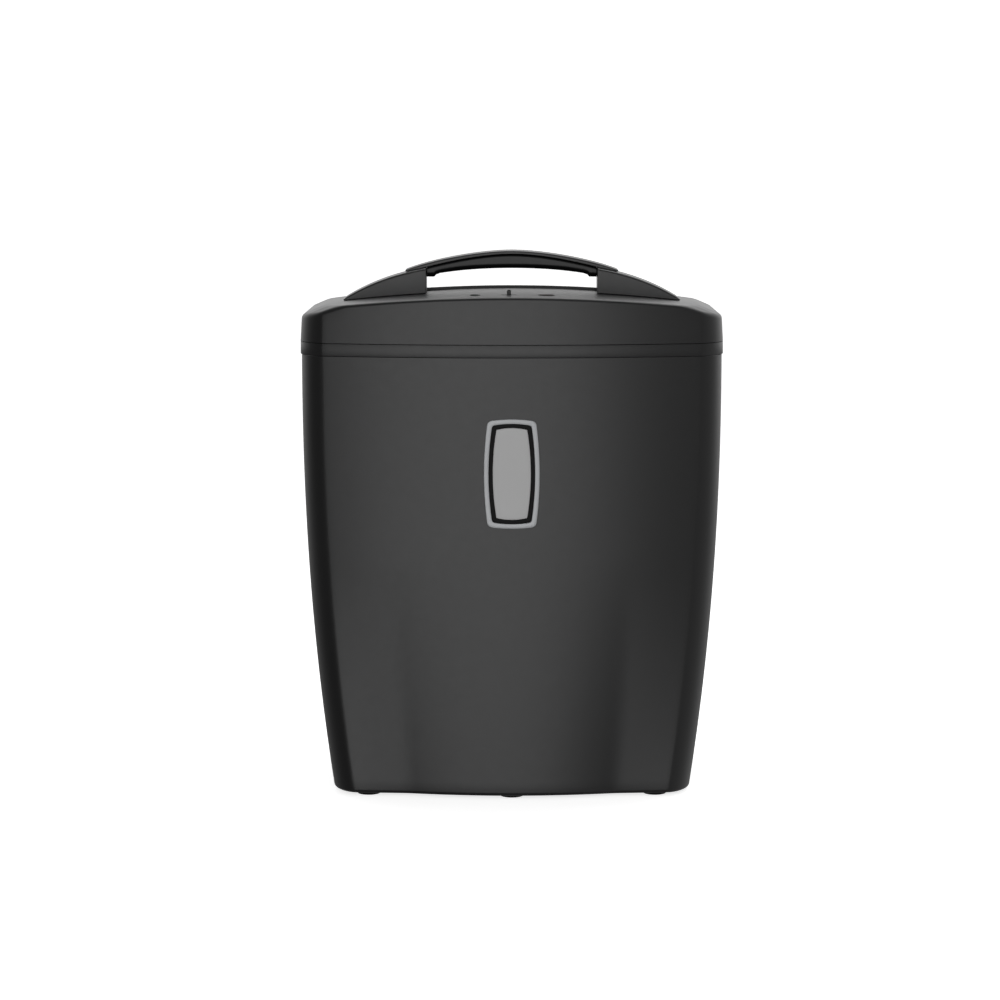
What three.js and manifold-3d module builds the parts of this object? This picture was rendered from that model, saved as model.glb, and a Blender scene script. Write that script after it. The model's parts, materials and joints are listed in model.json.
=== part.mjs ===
// Paper shredder: a tapered waste bin with a viewing window, and a lift-off cutting head on its rim.
// The head holds a feed throat, two interleaved cutter rollers with their gears and motor, and a handle.
// Millimetres. X runs to the right, Y to the back, Z up; the origin is on the floor under the body's middle.
import * as THREE from "three";
import { mergeVertices } from "three/addons/utils/BufferGeometryUtils.js";
import Module from "manifold-3d";

const wasm = await Module();
wasm.setup();

// ---------------------------------------------------------------- driving dimensions
const GAP = 0.3; // between pieces that touch
const CLEAR = 1; // how far a cutting solid runs past what it cuts
const SEAT = 0.1; // how far two solids run into each other where they join

const BODY = {
  halfWidth: 180, // head at its widest, at the seam between cover and base
  binHalfWidth: 179, // bin at its rim
  front: -118.6, // front face on the centre line
  rear: 118,
  frontRadius: 605, // plan radius of the bowed front
  narrowing: 26.7, // each side draws in by this much from the rim to the floor
  narrowingPower: 2.2, // and does so faster towards the floor
  frontTaper: 5e-6, // the front leans in by this times the height below the rim, squared
  rearTaper: 5e-5,
  cornerX: 20.5, // a front corner takes this much of the width
  cornerY: 33, // and this much of the depth
  cornerExit: 18, // length of the corner curve's handle at the side
  rearCorner: 28,
};
const OUTLINE_STEPS = { panel: 4, flank: 3, corner: 5, rear: 4 };
const BIN = {
  bottom: 2.4,
  rim: 376,
  wall: 2.6,
  floor: 3,
  edge: 3.2, // rounding round the floor
  cornerEntry: 9, // length of the corner curve's handle at the front
  levels: [60, 130, 200, 290], // heights of the rings that shape its sides
};
const PANEL = { top: 200, halfTop: 100, halfBottom: 88, radiusBottom: 345 }; // the pillowed lower front
const FOOT = { radius: 10, height: 2.1, bevel: 0.8 };
const FRONT_FEET = { centreY: -102, x: 122.5, y: -90 };
const REAR_FEET = { centreY: 94, x: 118, y: 88 };
const WINDOW = {
  z: 278.3, // its centre
  halfHeight: 46.3,
  halfWidth: 23.5,
  halfWidthEnd: 20.4, // at its top and bottom, as the outline is a barrel
  endBow: 1.6,
  proud: 1.4,
  bezel: 3.9, // width of the bezel's face
  gasket: 3.3, // width of the gasket's face
  neck: 1.1, // thickness of the bezel's neck through the wall
  back: 4, // depth of the neck and the gasket behind the front face
  paneBack: 2.4,
  gasketSunk: 0.5,
  paneSunk: 0.9,
};

const BASE = {
  flangeBottom: 376.3,
  flangeEdge: 0.4,
  seam: 386.6,
  trayBottom: 325,
  trayInset: 8.5,
  trayDraft: 2,
  trayCorner: 21,
  wall: 2.6,
  floor: 2.6,
};
const DISCHARGE = { half: 110, frontY: -28, backY: 32 }; // the opening that shreds fall through
const COVER = {
  bottom: 386.9,
  wall: 2.5,
  draft: 0.046,
  cornerEntry: 5,
  shoulderBase: 408.8, // height of the shoulders at the outermost edge
  shoulderSlope: 0.42,
  shoulderRun: 60,
};
// Where the shoulders start, as [y, x] round one side: they follow the side and turn in at its corners.
const SHOULDER_EDGE = [
  [-135, 150],
  [-103, 164.2],
  [-94, 171.5],
  [-82, 177],
  [-66, 180],
  [30, 180],
  [65, 178],
  [90, 174],
  [106, 166.5],
  [135, 146],
];
const DECK = {
  top: 426.8, // on the centre line at the front edge
  arch: 3.97e-4,
  rise: 0.015, // towards the break line
  breakY: 20,
  fall: 0.07, // behind the break line
  edge: 1.6,
  reach: 185,
};

const POD = {
  inner: 73.3,
  tip: 145.3,
  frontY: -45,
  backY: -9,
  innerTop: 447.3,
  crown: [114.3, 440.4], // the top curve's control point
  bevel: 1.1,
  sunk: 6, // how far its outline reaches below the deck before it is trimmed to it
};
// The handle's curves, each as end point, two control points and end point, from the middle out.
const HANDLE = {
  frontY: -38,
  backY: -12,
  bevel: 1,
  end: 73,
  underside: [
    [0, 447],
    [25, 447],
    [45, 445.3],
    [61.5, 442.7],
  ],
  barTop: [
    [0, 459],
    [28, 459],
    [60, 451.2],
    [73, 447.3],
  ],
  collar: [66.6, 439.6], // the lower corner of the collar at each end of the bar
  parting: [
    [0, 459.3],
    [28, 459.3],
    [60, 451.6],
    [75, 447.7],
  ],
  gripTop: [
    [0, 462],
    [30, 462],
    [72, 453.5],
    [91.6, 445.4],
  ],
  nose: [91.2, 444.3], // the lower corner of the grip's nose, on the pod
  overhang: 0.6, // the grip is wider than the bar by this much each way
};
const THROAT = {
  half: 119,
  frontY: -8,
  backY: 14,
  bottom: 398,
  rise: 2, // above the deck's height at its front edge
  slotHalf: 113,
  slotFront: -1,
  slotBack: 5,
  lead: 2.4, // the funnel starts this far behind the throat's front
  leadDepth: 6,
  lip: 4, // height of the raised lip in front of the slot, measured like the rise
  lipShort: 4, // the lip stops short of the throat's ends by this much
  lipBevel: 0.4,
  notchHalf: 2.4, // the notch that the paper sensor's lever swings in
  notchTop: 409,
};
const KNOB = {
  x: -2.4,
  y: -88,
  halfWidth: 1.8,
  halfDepth: 1.5,
  bottom: 414.4,
  rise: 4.4, // above the deck
  edge: 0.6,
  travel: 4, // each way
};
const KNOB_SLOT = { slackX: 0.6, slackY: 0.5 };
const SWITCH = { half: 10.6, halfDepth: 5, bottom: 409, top: 421 };
const SWITCH_TRACK = { half: 7.2, halfDepth: 2.2, bottom: 414 };
const LENS = {
  y: -88,
  halfDepth: 5.4,
  proud: 0.8, // above the deck
  height: 10,
  left: { x: -31, half: 4.4 },
  right: { x: 29, half: 7.2 },
};

const SHAFT_Z = 372; // both cutter shafts
const SHAFT_MID_Y = 2; // half way between the cutter shafts
const PLATE = { x: 117, thick: 2.5, frontY: -36, backY: 103.5, bottom: 343, top: 394 };
const TIE = { radius: 3.4, spigot: 2.2, beyond: 4 };
const TIE_RODS = [
  ["lower_front", -31, 349],
  ["upper_front", -31, 389],
  ["rear", 42, 388],
];
const CUTTER = {
  discRadius: 15.4,
  notch: 2.4, // every other corner of a disc is lower by this much
  hook: 0.55, // and lies nearer to the corner before it by this share of a side
  twist: 0.21, // turn from one disc to the next, in radians
  discs: 15,
  discWidth: 7.2,
  pitch: 15,
  sides: 8,
  coreRadius: 8,
  coreInset: 3,
  journal: 5.5,
  journalLeft: -122,
  journalFront: 127,
  journalRear: 141,
};
const COMB = {
  half: 112,
  thick: 3,
  halfHeight: 5,
  fingerHalf: 2,
  fingerHalfHeight: 4,
  clearCore: 1,
  clearDisc: 1.2,
};
const BUSH = { inner: 5.9, outer: 9, flange: 11, flangeThick: 2.2, proud: 0.2 };
const SYNC_GEAR = { module: 1.8, teeth: 16, x: 122.4, width: 7 };
const DRIVE_GEAR = { module: 1.5, teeth: 40, x: 131.5, width: 6 };
const DRIVE_WEB = { inner: 12, outer: 25, depth: 1.8 }; // the round recess in the drive gear's inner face
const IDLER_SMALL = { module: 1.5, teeth: 12, x: 131.2, width: 6.6 };
const IDLER_LARGE = { module: 1, teeth: 40, x: 124, width: 5.5 };
const IDLER_HUB = { x0: 120.6, x1: 134.8, radius: 6.4 };
const MOTOR_PINION = { module: 1, teeth: 10, x: 123.6, width: 6.3 };
const AXLE = { radius: 3, x0: 115.6, x1: 141 };
const GEAR_PLATE = {
  x0: 137.5,
  x1: 139.7,
  frontY: -25,
  backY: 90,
  bottom: 346,
  top: 396,
  inset: 5, // of its feet from its edges
  footRadius: 2.6,
};
const MOTOR = {
  radius: 24,
  wall: 1.6,
  length: 78,
  faceThick: 2,
  boss: 8,
  bossProud: 2.4,
  bore: 3.6,
  sides: 20,
};
const END_CAP = { thick: 3, seatOuter: 10, seatInner: 8, seatDepth: 4 };
const ROTOR = { shaft: 3, shaftBehind: 14, shaftEnd: 127, armature: 17, armatureInset: 12 };
const FAN = { hub: 6, behind: 13, width: 8, bladeLength: 36, bladeWidth: 6, bladeThick: 1.4, blades: 4 };

const SCREW = {
  x: 174,
  frontY: -40,
  rearY: 70,
  head: 2.6,
  headHeight: 2.2,
  headZ: 376.7,
  shank: 1.4,
  tip: 399,
};
const BOSS = { radius: 4, top: 404, hole: 1.8, holeTop: 401, sides: 8 };
const GLAND = { x: -110, z: 400, bore: 3.6, body: 6, flange: 8.5, flangeEdge: 1, inner: 108, outer: 120 };
const INTERLOCK = { x: -174.2, y: 26, pin: 1.5, pinTop: 388.4, head: 2.8, headBottom: 387, headTop: 389 };
const INTERLOCK_TAB = { x: [-177.2, -172.2], y: [20, 32], z: [364, 376] };
const INTERLOCK_SWITCH = { x: [-175.4, -163], y: [16, 36], z: [392, 403] };
const BOARD = { x: [-160, -124], y: [-30, 46], z: [346, 347.6] };
const RELAY = { x: [-152, -132], y: [-16, 12], z: [347.9, 364] };
const CAPACITOR = { x: -142, y: 30, bottom: 347.9, top: 371, radius: 8.5 };
const SENSOR = { x: [-7, 7], y: [-26, -16], z: [399, 411] };
const SENSOR_EAR = { thick: 1.6, y: [-17, -9], z: [399, 405] };
const LEVER = { y: -12.4, z: 402, pin: 1.6, pinHalf: 5, armHalf: 1.4, armHalfThick: 0.8, reach: 3.4 };

const PRESSURE_ANGLE = THREE.MathUtils.degToRad(25);
const BACKLASH = 0.36; // taken off each tooth's thickness

const pitchRadius = (gear) => (gear.module * gear.teeth) / 2;
const shaftHalf = pitchRadius(SYNC_GEAR); // half the distance between the cutter shafts
const FRONT_SHAFT = { y: SHAFT_MID_Y - shaftHalf, z: SHAFT_Z };
const REAR_SHAFT = { y: SHAFT_MID_Y + shaftHalf, z: SHAFT_Z };
const IDLER = { y: REAR_SHAFT.y + pitchRadius(DRIVE_GEAR) + pitchRadius(IDLER_SMALL), z: SHAFT_Z };
const MOTOR_AXIS = { y: IDLER.y + pitchRadius(IDLER_LARGE) + pitchRadius(MOTOR_PINION), z: SHAFT_Z };

// ---------------------------------------------------------------- materials
const finish = (color, roughness, metalness = 0) =>
  new THREE.MeshStandardMaterial({ color, roughness, metalness });
const MATERIAL = {
  body: finish(0x2b2b2c, 0.42),
  trim: finish(0x131314, 0.25),
  silver: finish(0xa9abad, 0.3, 0.8),
  pane: finish(0x9b9c9d, 0.35),
  rubber: finish(0x101010, 0.85),
  steel: finish(0x8d9094, 0.35, 1),
  blackPlastic: finish(0x1b1b1c, 0.6),
  gear: finish(0xd8d4c4, 0.5),
  brass: finish(0xb08d4a, 0.35, 1),
  motor: finish(0x6e7276, 0.4, 1),
  board: finish(0x1f5a3a, 0.55),
  lens: finish(0x301010, 0.1),
  lensGreen: finish(0x0c2a16, 0.1),
};

// ---------------------------------------------------------------- solids
const AXIS_X = new THREE.Matrix4().makeBasis(
  new THREE.Vector3(0, 1, 0),
  new THREE.Vector3(0, 0, 1),
  new THREE.Vector3(1, 0, 0),
);

// A closed geometry as a manifold-3d solid.
function solid(geometry) {
  const flat = geometry.index ? geometry.toNonIndexed() : geometry.clone();
  for (const name of Object.keys(flat.attributes)) if (name !== "position") flat.deleteAttribute(name);
  const merged = mergeVertices(flat, 1e-4);
  return new wasm.Manifold(
    new wasm.Mesh({
      numProp: 3,
      vertProperties: merged.attributes.position.array,
      triVerts: new Uint32Array(merged.index.array),
    }),
  );
}

// A manifold-3d solid as a geometry.
function geometryOf(manifold) {
  const mesh = manifold.getMesh();
  const position = new Float32Array(mesh.numVert * 3);
  for (let i = 0; i < mesh.numVert; i++)
    position.set(mesh.vertProperties.subarray(i * mesh.numProp, i * mesh.numProp + 3), i * 3);
  const geometry = new THREE.BufferGeometry();
  geometry.setAttribute("position", new THREE.BufferAttribute(position, 3));
  geometry.setIndex(new THREE.BufferAttribute(mesh.triVerts, 1));
  geometry.computeVertexNormals();
  return geometry;
}

const join = (first, ...rest) => rest.reduce((sum, piece) => sum.add(piece), first);
const cut = (first, ...rest) => rest.reduce((left, piece) => left.subtract(piece), first);

function box(x0, x1, y0, y1, z0, z1) {
  const geometry = new THREE.BoxGeometry(x1 - x0, y1 - y0, z1 - z0);
  return solid(geometry.translate((x0 + x1) / 2, (y0 + y1) / 2, (z0 + z1) / 2));
}

// A box from its extents along each axis.
const blockOf = ({ x, y, z }) => box(...x, ...y, ...z);

// A cylinder along Z from z0 to z1, or a cone frustum if two radii are given.
function post(x, y, z0, z1, radius, sides = 16, topRadius = radius) {
  const geometry = new THREE.CylinderGeometry(topRadius, radius, z1 - z0, sides).rotateX(Math.PI / 2);
  return solid(geometry.translate(x, y, (z0 + z1) / 2));
}

// A cylinder along X from x0 to x1.
function rod(x0, x1, y, z, radius, sides = 12) {
  const geometry = new THREE.CylinderGeometry(radius, radius, x1 - x0, sides).rotateZ(-Math.PI / 2);
  return solid(geometry.translate((x0 + x1) / 2, y, z));
}

// A shape drawn in X and Z, extruded along Y from y0 to y1, with its edges bevelled inside its outline.
function extrudeYGeometry(shape, y0, y1, bevel = 0) {
  const geometry = new THREE.ExtrudeGeometry(shape, {
    depth: y1 - y0 - 2 * bevel,
    bevelEnabled: bevel > 0,
    bevelThickness: bevel,
    bevelSize: bevel,
    bevelOffset: -bevel,
    bevelSegments: 1,
    curveSegments: 8,
  });
  return geometry.rotateX(Math.PI / 2).translate(0, y1 - bevel, 0);
}

const extrudeY = (shape, y0, y1, bevel) => solid(extrudeYGeometry(shape, y0, y1, bevel));

// A shape drawn in Y and Z, extruded along X from x0 to x1.
function extrudeX(shape, x0, x1) {
  const geometry = new THREE.ExtrudeGeometry(shape, { depth: x1 - x0, bevelEnabled: false });
  return solid(geometry.applyMatrix4(AXIS_X).translate(x0, 0, 0));
}

const polygon = (points) => new THREE.Shape(points.map(([x, y]) => new THREE.Vector2(x, y)));

// A closed [radius, along] profile turned about a line along X (or along Y), starting at the given point.
function turned(profile, { x = 0, y = 0, z = 0, sides = 16, alongY = false }) {
  const outline = profile.map(([radius, along]) => new THREE.Vector2(radius, along));
  if (THREE.ShapeUtils.isClockWise(outline)) outline.reverse();
  const geometry = new THREE.LatheGeometry([...outline, outline[0]], sides);
  if (!alongY) geometry.rotateZ(-Math.PI / 2);
  return solid(geometry.translate(x, y, z));
}

// A closed skin through rings with equal point counts, [x, y, z] each, capped at its first and last ring.
function loft(rings) {
  const count = rings[0].length;
  const index = [];
  for (let r = 0; r + 1 < rings.length; r++)
    for (let i = 0; i < count; i++) {
      const [a, b] = [r * count + i, r * count + ((i + 1) % count)];
      index.push(a, b, b + count, a, b + count, a + count);
    }
  const last = (rings.length - 1) * count;
  const capOf = (ring) => {
    const outline = ring.map(([x, y]) => new THREE.Vector2(x, y));
    return THREE.ShapeUtils.triangulateShape(outline, []);
  };
  for (const [a, b, c] of capOf(rings[0])) index.push(c, b, a);
  for (const [a, b, c] of capOf(rings.at(-1))) index.push(last + a, last + b, last + c);
  const geometry = new THREE.BufferGeometry();
  geometry.setAttribute("position", new THREE.Float32BufferAttribute(rings.flat(2), 3));
  geometry.setIndex(index);
  return solid(geometry);
}

// ---------------------------------------------------------------- body outline
// The deck's height: arched across, and rising gently to the break line behind the throat.
const deckZ = (x, y = BODY.front) => DECK.top - DECK.arch * x * x + DECK.rise * (y - BODY.front);

// How far the front face lies behind its centre line point, at x, at a height.
function frontSag(x, z, cornerStart) {
  const plain = (x * x) / (2 * BODY.frontRadius);
  if (z >= PANEL.top) return plain;
  const share = (PANEL.top - z) / PANEL.top;
  const crease = panelHalf(z);
  const pillow = (u) => (u * u) / (2 * PANEL.radiusBottom);
  const cornerSag = cornerStart ** 2 / (2 * BODY.frontRadius);
  const flank = THREE.MathUtils.mapLinear(x, crease, cornerStart, pillow(crease), cornerSag);
  return THREE.MathUtils.lerp(plain, x < crease ? pillow(x) : flank, share);
}

// Half the width of the pillowed panel at a height: its creases lean in towards the floor.
function panelHalf(z) {
  return THREE.MathUtils.mapLinear(Math.min(z, PANEL.top), 0, PANEL.top, PANEL.halfBottom, PANEL.halfTop);
}

// The right half of the body's plan outline at a height, from the front centre round to its flat rear.
function halfOutline(z, halfWidth, cornerEntry) {
  const drop = Math.max(0, BIN.rim - z) ** 2;
  const front = BODY.front + BODY.frontTaper * drop;
  const rear = BODY.rear - BODY.rearTaper * drop;
  const cornerStart = halfWidth - BODY.cornerX;
  const crease = panelHalf(z);
  const points = [];
  const spans = [
    [0, crease, OUTLINE_STEPS.panel],
    [crease, cornerStart, OUTLINE_STEPS.flank],
  ];
  for (const [from, to, steps] of spans)
    for (let i = 0; i < steps; i++) {
      const x = from + ((to - from) * i) / steps;
      points.push([x, front + frontSag(x, z, cornerStart)]);
    }
  const start = new THREE.Vector2(cornerStart, front + frontSag(cornerStart, z, cornerStart));
  const slope = (start.y - points.at(-1)[1]) / (start.x - points.at(-1)[0]);
  const entry = new THREE.Vector2(1, slope).setLength(cornerEntry).add(start);
  const end = new THREE.Vector2(halfWidth, start.y + BODY.cornerY);
  const exit = new THREE.Vector2(halfWidth, end.y - BODY.cornerExit);
  const corner = new THREE.CubicBezierCurve(start, entry, exit, end);
  for (const p of corner.getPoints(OUTLINE_STEPS.corner)) points.push([p.x, p.y]);
  const round = BODY.rearCorner;
  for (let i = 0; i <= OUTLINE_STEPS.rear; i++) {
    const turn = (Math.PI / 2) * (i / OUTLINE_STEPS.rear);
    points.push([halfWidth - round + round * Math.cos(turn), rear - round + round * Math.sin(turn)]);
  }
  return points;
}

// The whole outline as a ring, moved inwards by an inset and lifted to a height or along a curve of x.
function bodyRing(z, { halfWidth, cornerEntry, inset = 0, at = z }) {
  const half = halfOutline(z, halfWidth, cornerEntry);
  const mirrored = half.slice(1).reverse();
  const ring = [...half, ...mirrored.map(([x, y]) => [-x, y])];
  return ring.map(([x, y], i) => {
    const before = ring.at(i - 1);
    const after = ring[(i + 1) % ring.length];
    const along = new THREE.Vector2(after[0] - before[0], after[1] - before[1]).normalize();
    return [x - along.y * inset, y + along.x * inset, typeof at === "function" ? at(x) : at];
  });
}

const binHalfWidth = (z) =>
  BODY.binHalfWidth - BODY.narrowing * Math.max(0, (BIN.rim - z) / BIN.rim) ** BODY.narrowingPower;
const binRing = (z, inset, at) =>
  bodyRing(z, { halfWidth: binHalfWidth(z), cornerEntry: BIN.cornerEntry, inset, at });
const headRing = (inset, at) =>
  bodyRing(BIN.rim, { halfWidth: BODY.halfWidth, cornerEntry: COVER.cornerEntry, inset, at });

// ---------------------------------------------------------------- waste bin
// The window's barrel outline, taller than wide, shrunk by an inset.
function windowShape(inset) {
  const [mid, end] = [WINDOW.halfWidth - inset, WINDOW.halfWidthEnd - inset];
  const top = WINDOW.halfHeight - WINDOW.endBow - inset;
  const side = 2 * mid - end;
  const crown = top + 2 * WINDOW.endBow;
  const shape = new THREE.Shape();
  shape.moveTo(-end, -top);
  shape.quadraticCurveTo(0, -crown, end, -top);
  shape.quadraticCurveTo(side, 0, end, top);
  shape.quadraticCurveTo(0, crown, -end, top);
  shape.quadraticCurveTo(-side, 0, -end, -top);
  return shape;
}

// A slab of the window's outline, from a depth before the front face to a depth behind it.
const windowSlab = (inset, front, back) =>
  solid(extrudeYGeometry(windowShape(inset), front, back).translate(0, BODY.front, WINDOW.z));

// The same, running well past the wall on both sides.
const windowHole = (inset) => windowSlab(inset, -10, 12);

function binShell() {
  const { bottom, rim, wall, floor, edge, levels } = BIN;
  const outer = loft([
    binRing(bottom, edge),
    binRing(bottom + edge / 3, edge / 3),
    binRing(bottom + edge, 0),
    ...levels.map((z) => binRing(z, 0)),
    binRing(rim, 0),
  ]);
  const base = bottom + floor;
  const inner = loft([
    binRing(base, wall + edge),
    binRing(base + edge, wall),
    ...levels.map((z) => binRing(z, wall)),
    binRing(rim, wall, rim + CLEAR),
  ]);
  const hole = windowHole(WINDOW.bezel - WINDOW.neck - GAP);
  return join(cut(outer, inner, hole), blockOf(INTERLOCK_TAB));
}

function windowBezel() {
  const lip = windowSlab(0, -WINDOW.proud, -GAP);
  const neck = windowSlab(WINDOW.bezel - WINDOW.neck, -GAP - SEAT, WINDOW.back);
  return cut(join(lip, neck), windowHole(WINDOW.bezel));
}

const windowGasket = () =>
  cut(
    windowSlab(WINDOW.bezel + GAP / 2, WINDOW.gasketSunk - WINDOW.proud, WINDOW.back),
    windowHole(WINDOW.bezel + WINDOW.gasket),
  );

const windowPane = () =>
  windowSlab(WINDOW.bezel + WINDOW.gasket + GAP / 2, WINDOW.paneSunk - WINDOW.proud, WINDOW.paneBack);

function foot(x, y) {
  const { radius, height, bevel } = FOOT;
  return join(post(x, y, 0, bevel, radius - bevel, 16, radius), post(x, y, bevel, height, radius));
}

// ---------------------------------------------------------------- head housing
// The block under the arched deck, which rises to the break line and falls away behind it.
function deckBlock(drop) {
  const { reach, breakY, rise, fall } = DECK;
  const edgeZ = deckZ(reach, breakY) - drop;
  const crownZ = deckZ(0, breakY) - drop;
  const bottom = BASE.trayBottom;
  const shape = new THREE.Shape();
  shape.moveTo(-reach, edgeZ);
  shape.lineTo(-reach, bottom);
  shape.lineTo(reach, bottom);
  shape.lineTo(reach, edgeZ);
  shape.quadraticCurveTo(0, 2 * crownZ - edgeZ, -reach, edgeZ);
  const leaning = (angle) => {
    const geometry = extrudeYGeometry(shape, -reach, reach).translate(0, -breakY, -crownZ);
    return solid(geometry.rotateX(angle).translate(0, breakY, crownZ));
  };
  return leaning(Math.atan(rise)).intersect(leaning(-Math.atan(fall)));
}

// The block between the sloping shoulders. It runs a little past its outermost edge.
function shoulderBlock(drop) {
  const { shoulderBase, shoulderSlope, shoulderRun } = COVER;
  const ringAt = (inset, z = shoulderBase + inset * shoulderSlope - drop) => [
    ...SHOULDER_EDGE.map(([y, x]) => [x - inset, y, z]),
    ...SHOULDER_EDGE.map(([y, x]) => [inset - x, y, z]).reverse(),
  ];
  return loft([ringAt(-CLEAR, BASE.trayBottom), ringAt(-CLEAR), ringAt(shoulderRun)]);
}

// The cover's form, shrunk by a wall thickness on its sides and under its deck and shoulders.
function coverForm(wall, bottom) {
  const edge = DECK.edge;
  const drawn = wall + COVER.draft * (DECK.top - COVER.bottom);
  const plan = loft([
    headRing(wall, bottom),
    headRing(drawn, (x) => deckZ(x) - wall - edge),
    headRing(drawn + 2 * edge, (x) => deckZ(x) - wall + edge),
    headRing(drawn + 2 * edge, HANDLE.gripTop[0][1]),
  ]);
  const shoulderDrop = wall * Math.hypot(1, COVER.shoulderSlope);
  return plan.intersect(deckBlock(wall)).intersect(shoulderBlock(shoulderDrop));
}

const SCREWS = [
  ["front_left", -SCREW.x, SCREW.frontY],
  ["rear_left", -SCREW.x, SCREW.rearY],
  ["front_right", SCREW.x, SCREW.frontY],
  ["rear_right", SCREW.x, SCREW.rearY],
];

const ABOVE = 440; // a height above the whole deck
const BELOW = 390; // a height below the deck's underside, for holes through the deck

function ellipsePost(x, y, z0, z1, halfX, halfY) {
  const geometry = new THREE.CylinderGeometry(1, 1, z1 - z0, 18).rotateX(Math.PI / 2).scale(halfX, halfY, 1);
  return solid(geometry.translate(x, y, (z0 + z1) / 2));
}

// A hollow post for a screw from below.
const screwBoss = (x, y) =>
  cut(
    post(x, y, COVER.bottom, BOSS.top, BOSS.radius, BOSS.sides),
    post(x, y, COVER.bottom - CLEAR, BOSS.holeTop, BOSS.hole, BOSS.sides),
  );

function topCover() {
  const shell = cut(coverForm(0, COVER.bottom), coverForm(COVER.wall, COVER.bottom - CLEAR));
  const bosses = SCREWS.map(([, x, y]) => screwBoss(x, y));
  const throatHalf = THROAT.half + GAP;
  const throatHole = box(-throatHalf, throatHalf, THROAT.frontY - GAP, THROAT.backY + GAP, BELOW, ABOVE);
  const slotHalf = KNOB.travel + KNOB.halfWidth + KNOB_SLOT.slackX;
  const slotHalfDepth = KNOB.halfDepth + KNOB_SLOT.slackY;
  const knobSlot = box(
    KNOB.x - slotHalf,
    KNOB.x + slotHalf,
    KNOB.y - slotHalfDepth,
    KNOB.y + slotHalfDepth,
    BELOW,
    ABOVE,
  );
  const lensHoles = [LENS.left, LENS.right].map(({ x, half }) =>
    ellipsePost(x, LENS.y, BELOW, ABOVE, half + GAP, LENS.halfDepth + GAP),
  );
  const bore = GLAND.body + GAP;
  const glandProfile = [
    [0, 0],
    [bore, 0],
    [bore, 2 * (GLAND.outer - GLAND.inner)],
    [0, 2 * (GLAND.outer - GLAND.inner)],
  ];
  const glandHole = turned(glandProfile, { x: GLAND.x, y: GLAND.inner, z: GLAND.z, alongY: true });
  return cut(join(shell, ...bosses), throatHole, knobSlot, ...lensHoles, glandHole);
}

// The tray's outline: a bowed front, quarter-round corners and a flat rear, shrunk by a margin.
function trayRing(margin, z) {
  const halfX = BODY.halfWidth - BASE.trayInset - margin;
  const front = BODY.front + BASE.trayInset + margin;
  const rear = BODY.rear - BASE.trayInset - margin;
  const cornerX = halfX - BASE.trayCorner;
  const bow = (x) => front + (x * x) / (2 * BODY.frontRadius);
  const points = [0, 0.25, 0.5, 0.75].map((share) => [share * cornerX, bow(share * cornerX)]);
  const corners = [
    [new THREE.Vector2(cornerX, bow(cornerX)), new THREE.Vector2(halfX, bow(cornerX) + BASE.trayCorner)],
    [new THREE.Vector2(halfX, rear - BASE.trayCorner), new THREE.Vector2(cornerX, rear)],
  ];
  for (const [start, end] of corners) {
    const middle = new THREE.Vector2(halfX, start.x < end.x ? start.y : end.y);
    for (const p of new THREE.QuadraticBezierCurve(start, middle, end).getPoints(4)) points.push([p.x, p.y]);
  }
  const mirrored = points.slice(1).reverse();
  return [...points, ...mirrored.map(([x, y]) => [-x, y])].map(([x, y]) => [x, y, z]);
}

function headBase() {
  const { flangeBottom, flangeEdge, seam, trayBottom, trayDraft, wall, floor } = BASE;
  const flange = loft([
    headRing(flangeEdge, flangeBottom),
    headRing(0, flangeBottom + 5 * flangeEdge),
    headRing(0, seam),
  ]);
  const tray = loft([trayRing(trayDraft, trayBottom), trayRing(0, flangeBottom + CLEAR)]);
  const hollow = loft([trayRing(wall + trayDraft, trayBottom + floor), trayRing(wall, seam + CLEAR)]);
  const { half, frontY, backY } = DISCHARGE;
  const discharge = box(-half, half, frontY, backY, trayBottom - CLEAR, trayBottom + floor + CLEAR);
  const through = (x, y, radius) => post(x, y, flangeBottom - CLEAR, seam + CLEAR, radius, 12);
  const screwHoles = SCREWS.flatMap(([, x, y]) => [
    through(x, y, SCREW.shank + GAP + SEAT),
    post(x, y, flangeBottom - CLEAR, SCREW.headZ + SCREW.headHeight + GAP, SCREW.head + GAP, 12),
  ]);
  const plungerHole = through(INTERLOCK.x, INTERLOCK.y, INTERLOCK.pin + GAP);
  return cut(join(flange, tray), hollow, discharge, ...screwHoles, plungerHole);
}

const coverScrew = (x, y) =>
  join(
    post(x, y, SCREW.headZ, SCREW.headZ + SCREW.headHeight, SCREW.head, 12),
    post(x, y, SCREW.headZ + SCREW.headHeight - SEAT, SCREW.tip, SCREW.shank, 12),
  );

function cordGland() {
  const { bore, body, flange, flangeEdge, inner, outer } = GLAND;
  const shoulder = BODY.rear - inner - 2 * SEAT;
  const profile = [
    [bore, 0],
    [body, 0],
    [body, shoulder],
    [flange, shoulder],
    [flange - flangeEdge, outer - inner],
    [bore, outer - inner],
  ];
  return turned(profile, { x: GLAND.x, y: inner, z: GLAND.z, alongY: true });
}

// ---------------------------------------------------------------- handle
// A pod falls in a curve from the handle to the shoulder, and its underside is trimmed to the deck.
function handlePod(side) {
  const { inner, tip, frontY, backY, innerTop, crown, bevel, sunk } = POD;
  const shape = new THREE.Shape();
  shape.moveTo(side * inner, deckZ(inner) - sunk);
  shape.lineTo(side * (tip + sunk), deckZ(tip) - sunk);
  shape.lineTo(side * tip, deckZ(tip, frontY) + bevel);
  shape.quadraticCurveTo(side * crown[0], crown[1], side * inner, innerTop);
  return cut(extrudeY(shape, frontY, backY, bevel), deckBlock(-GAP));
}

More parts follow.
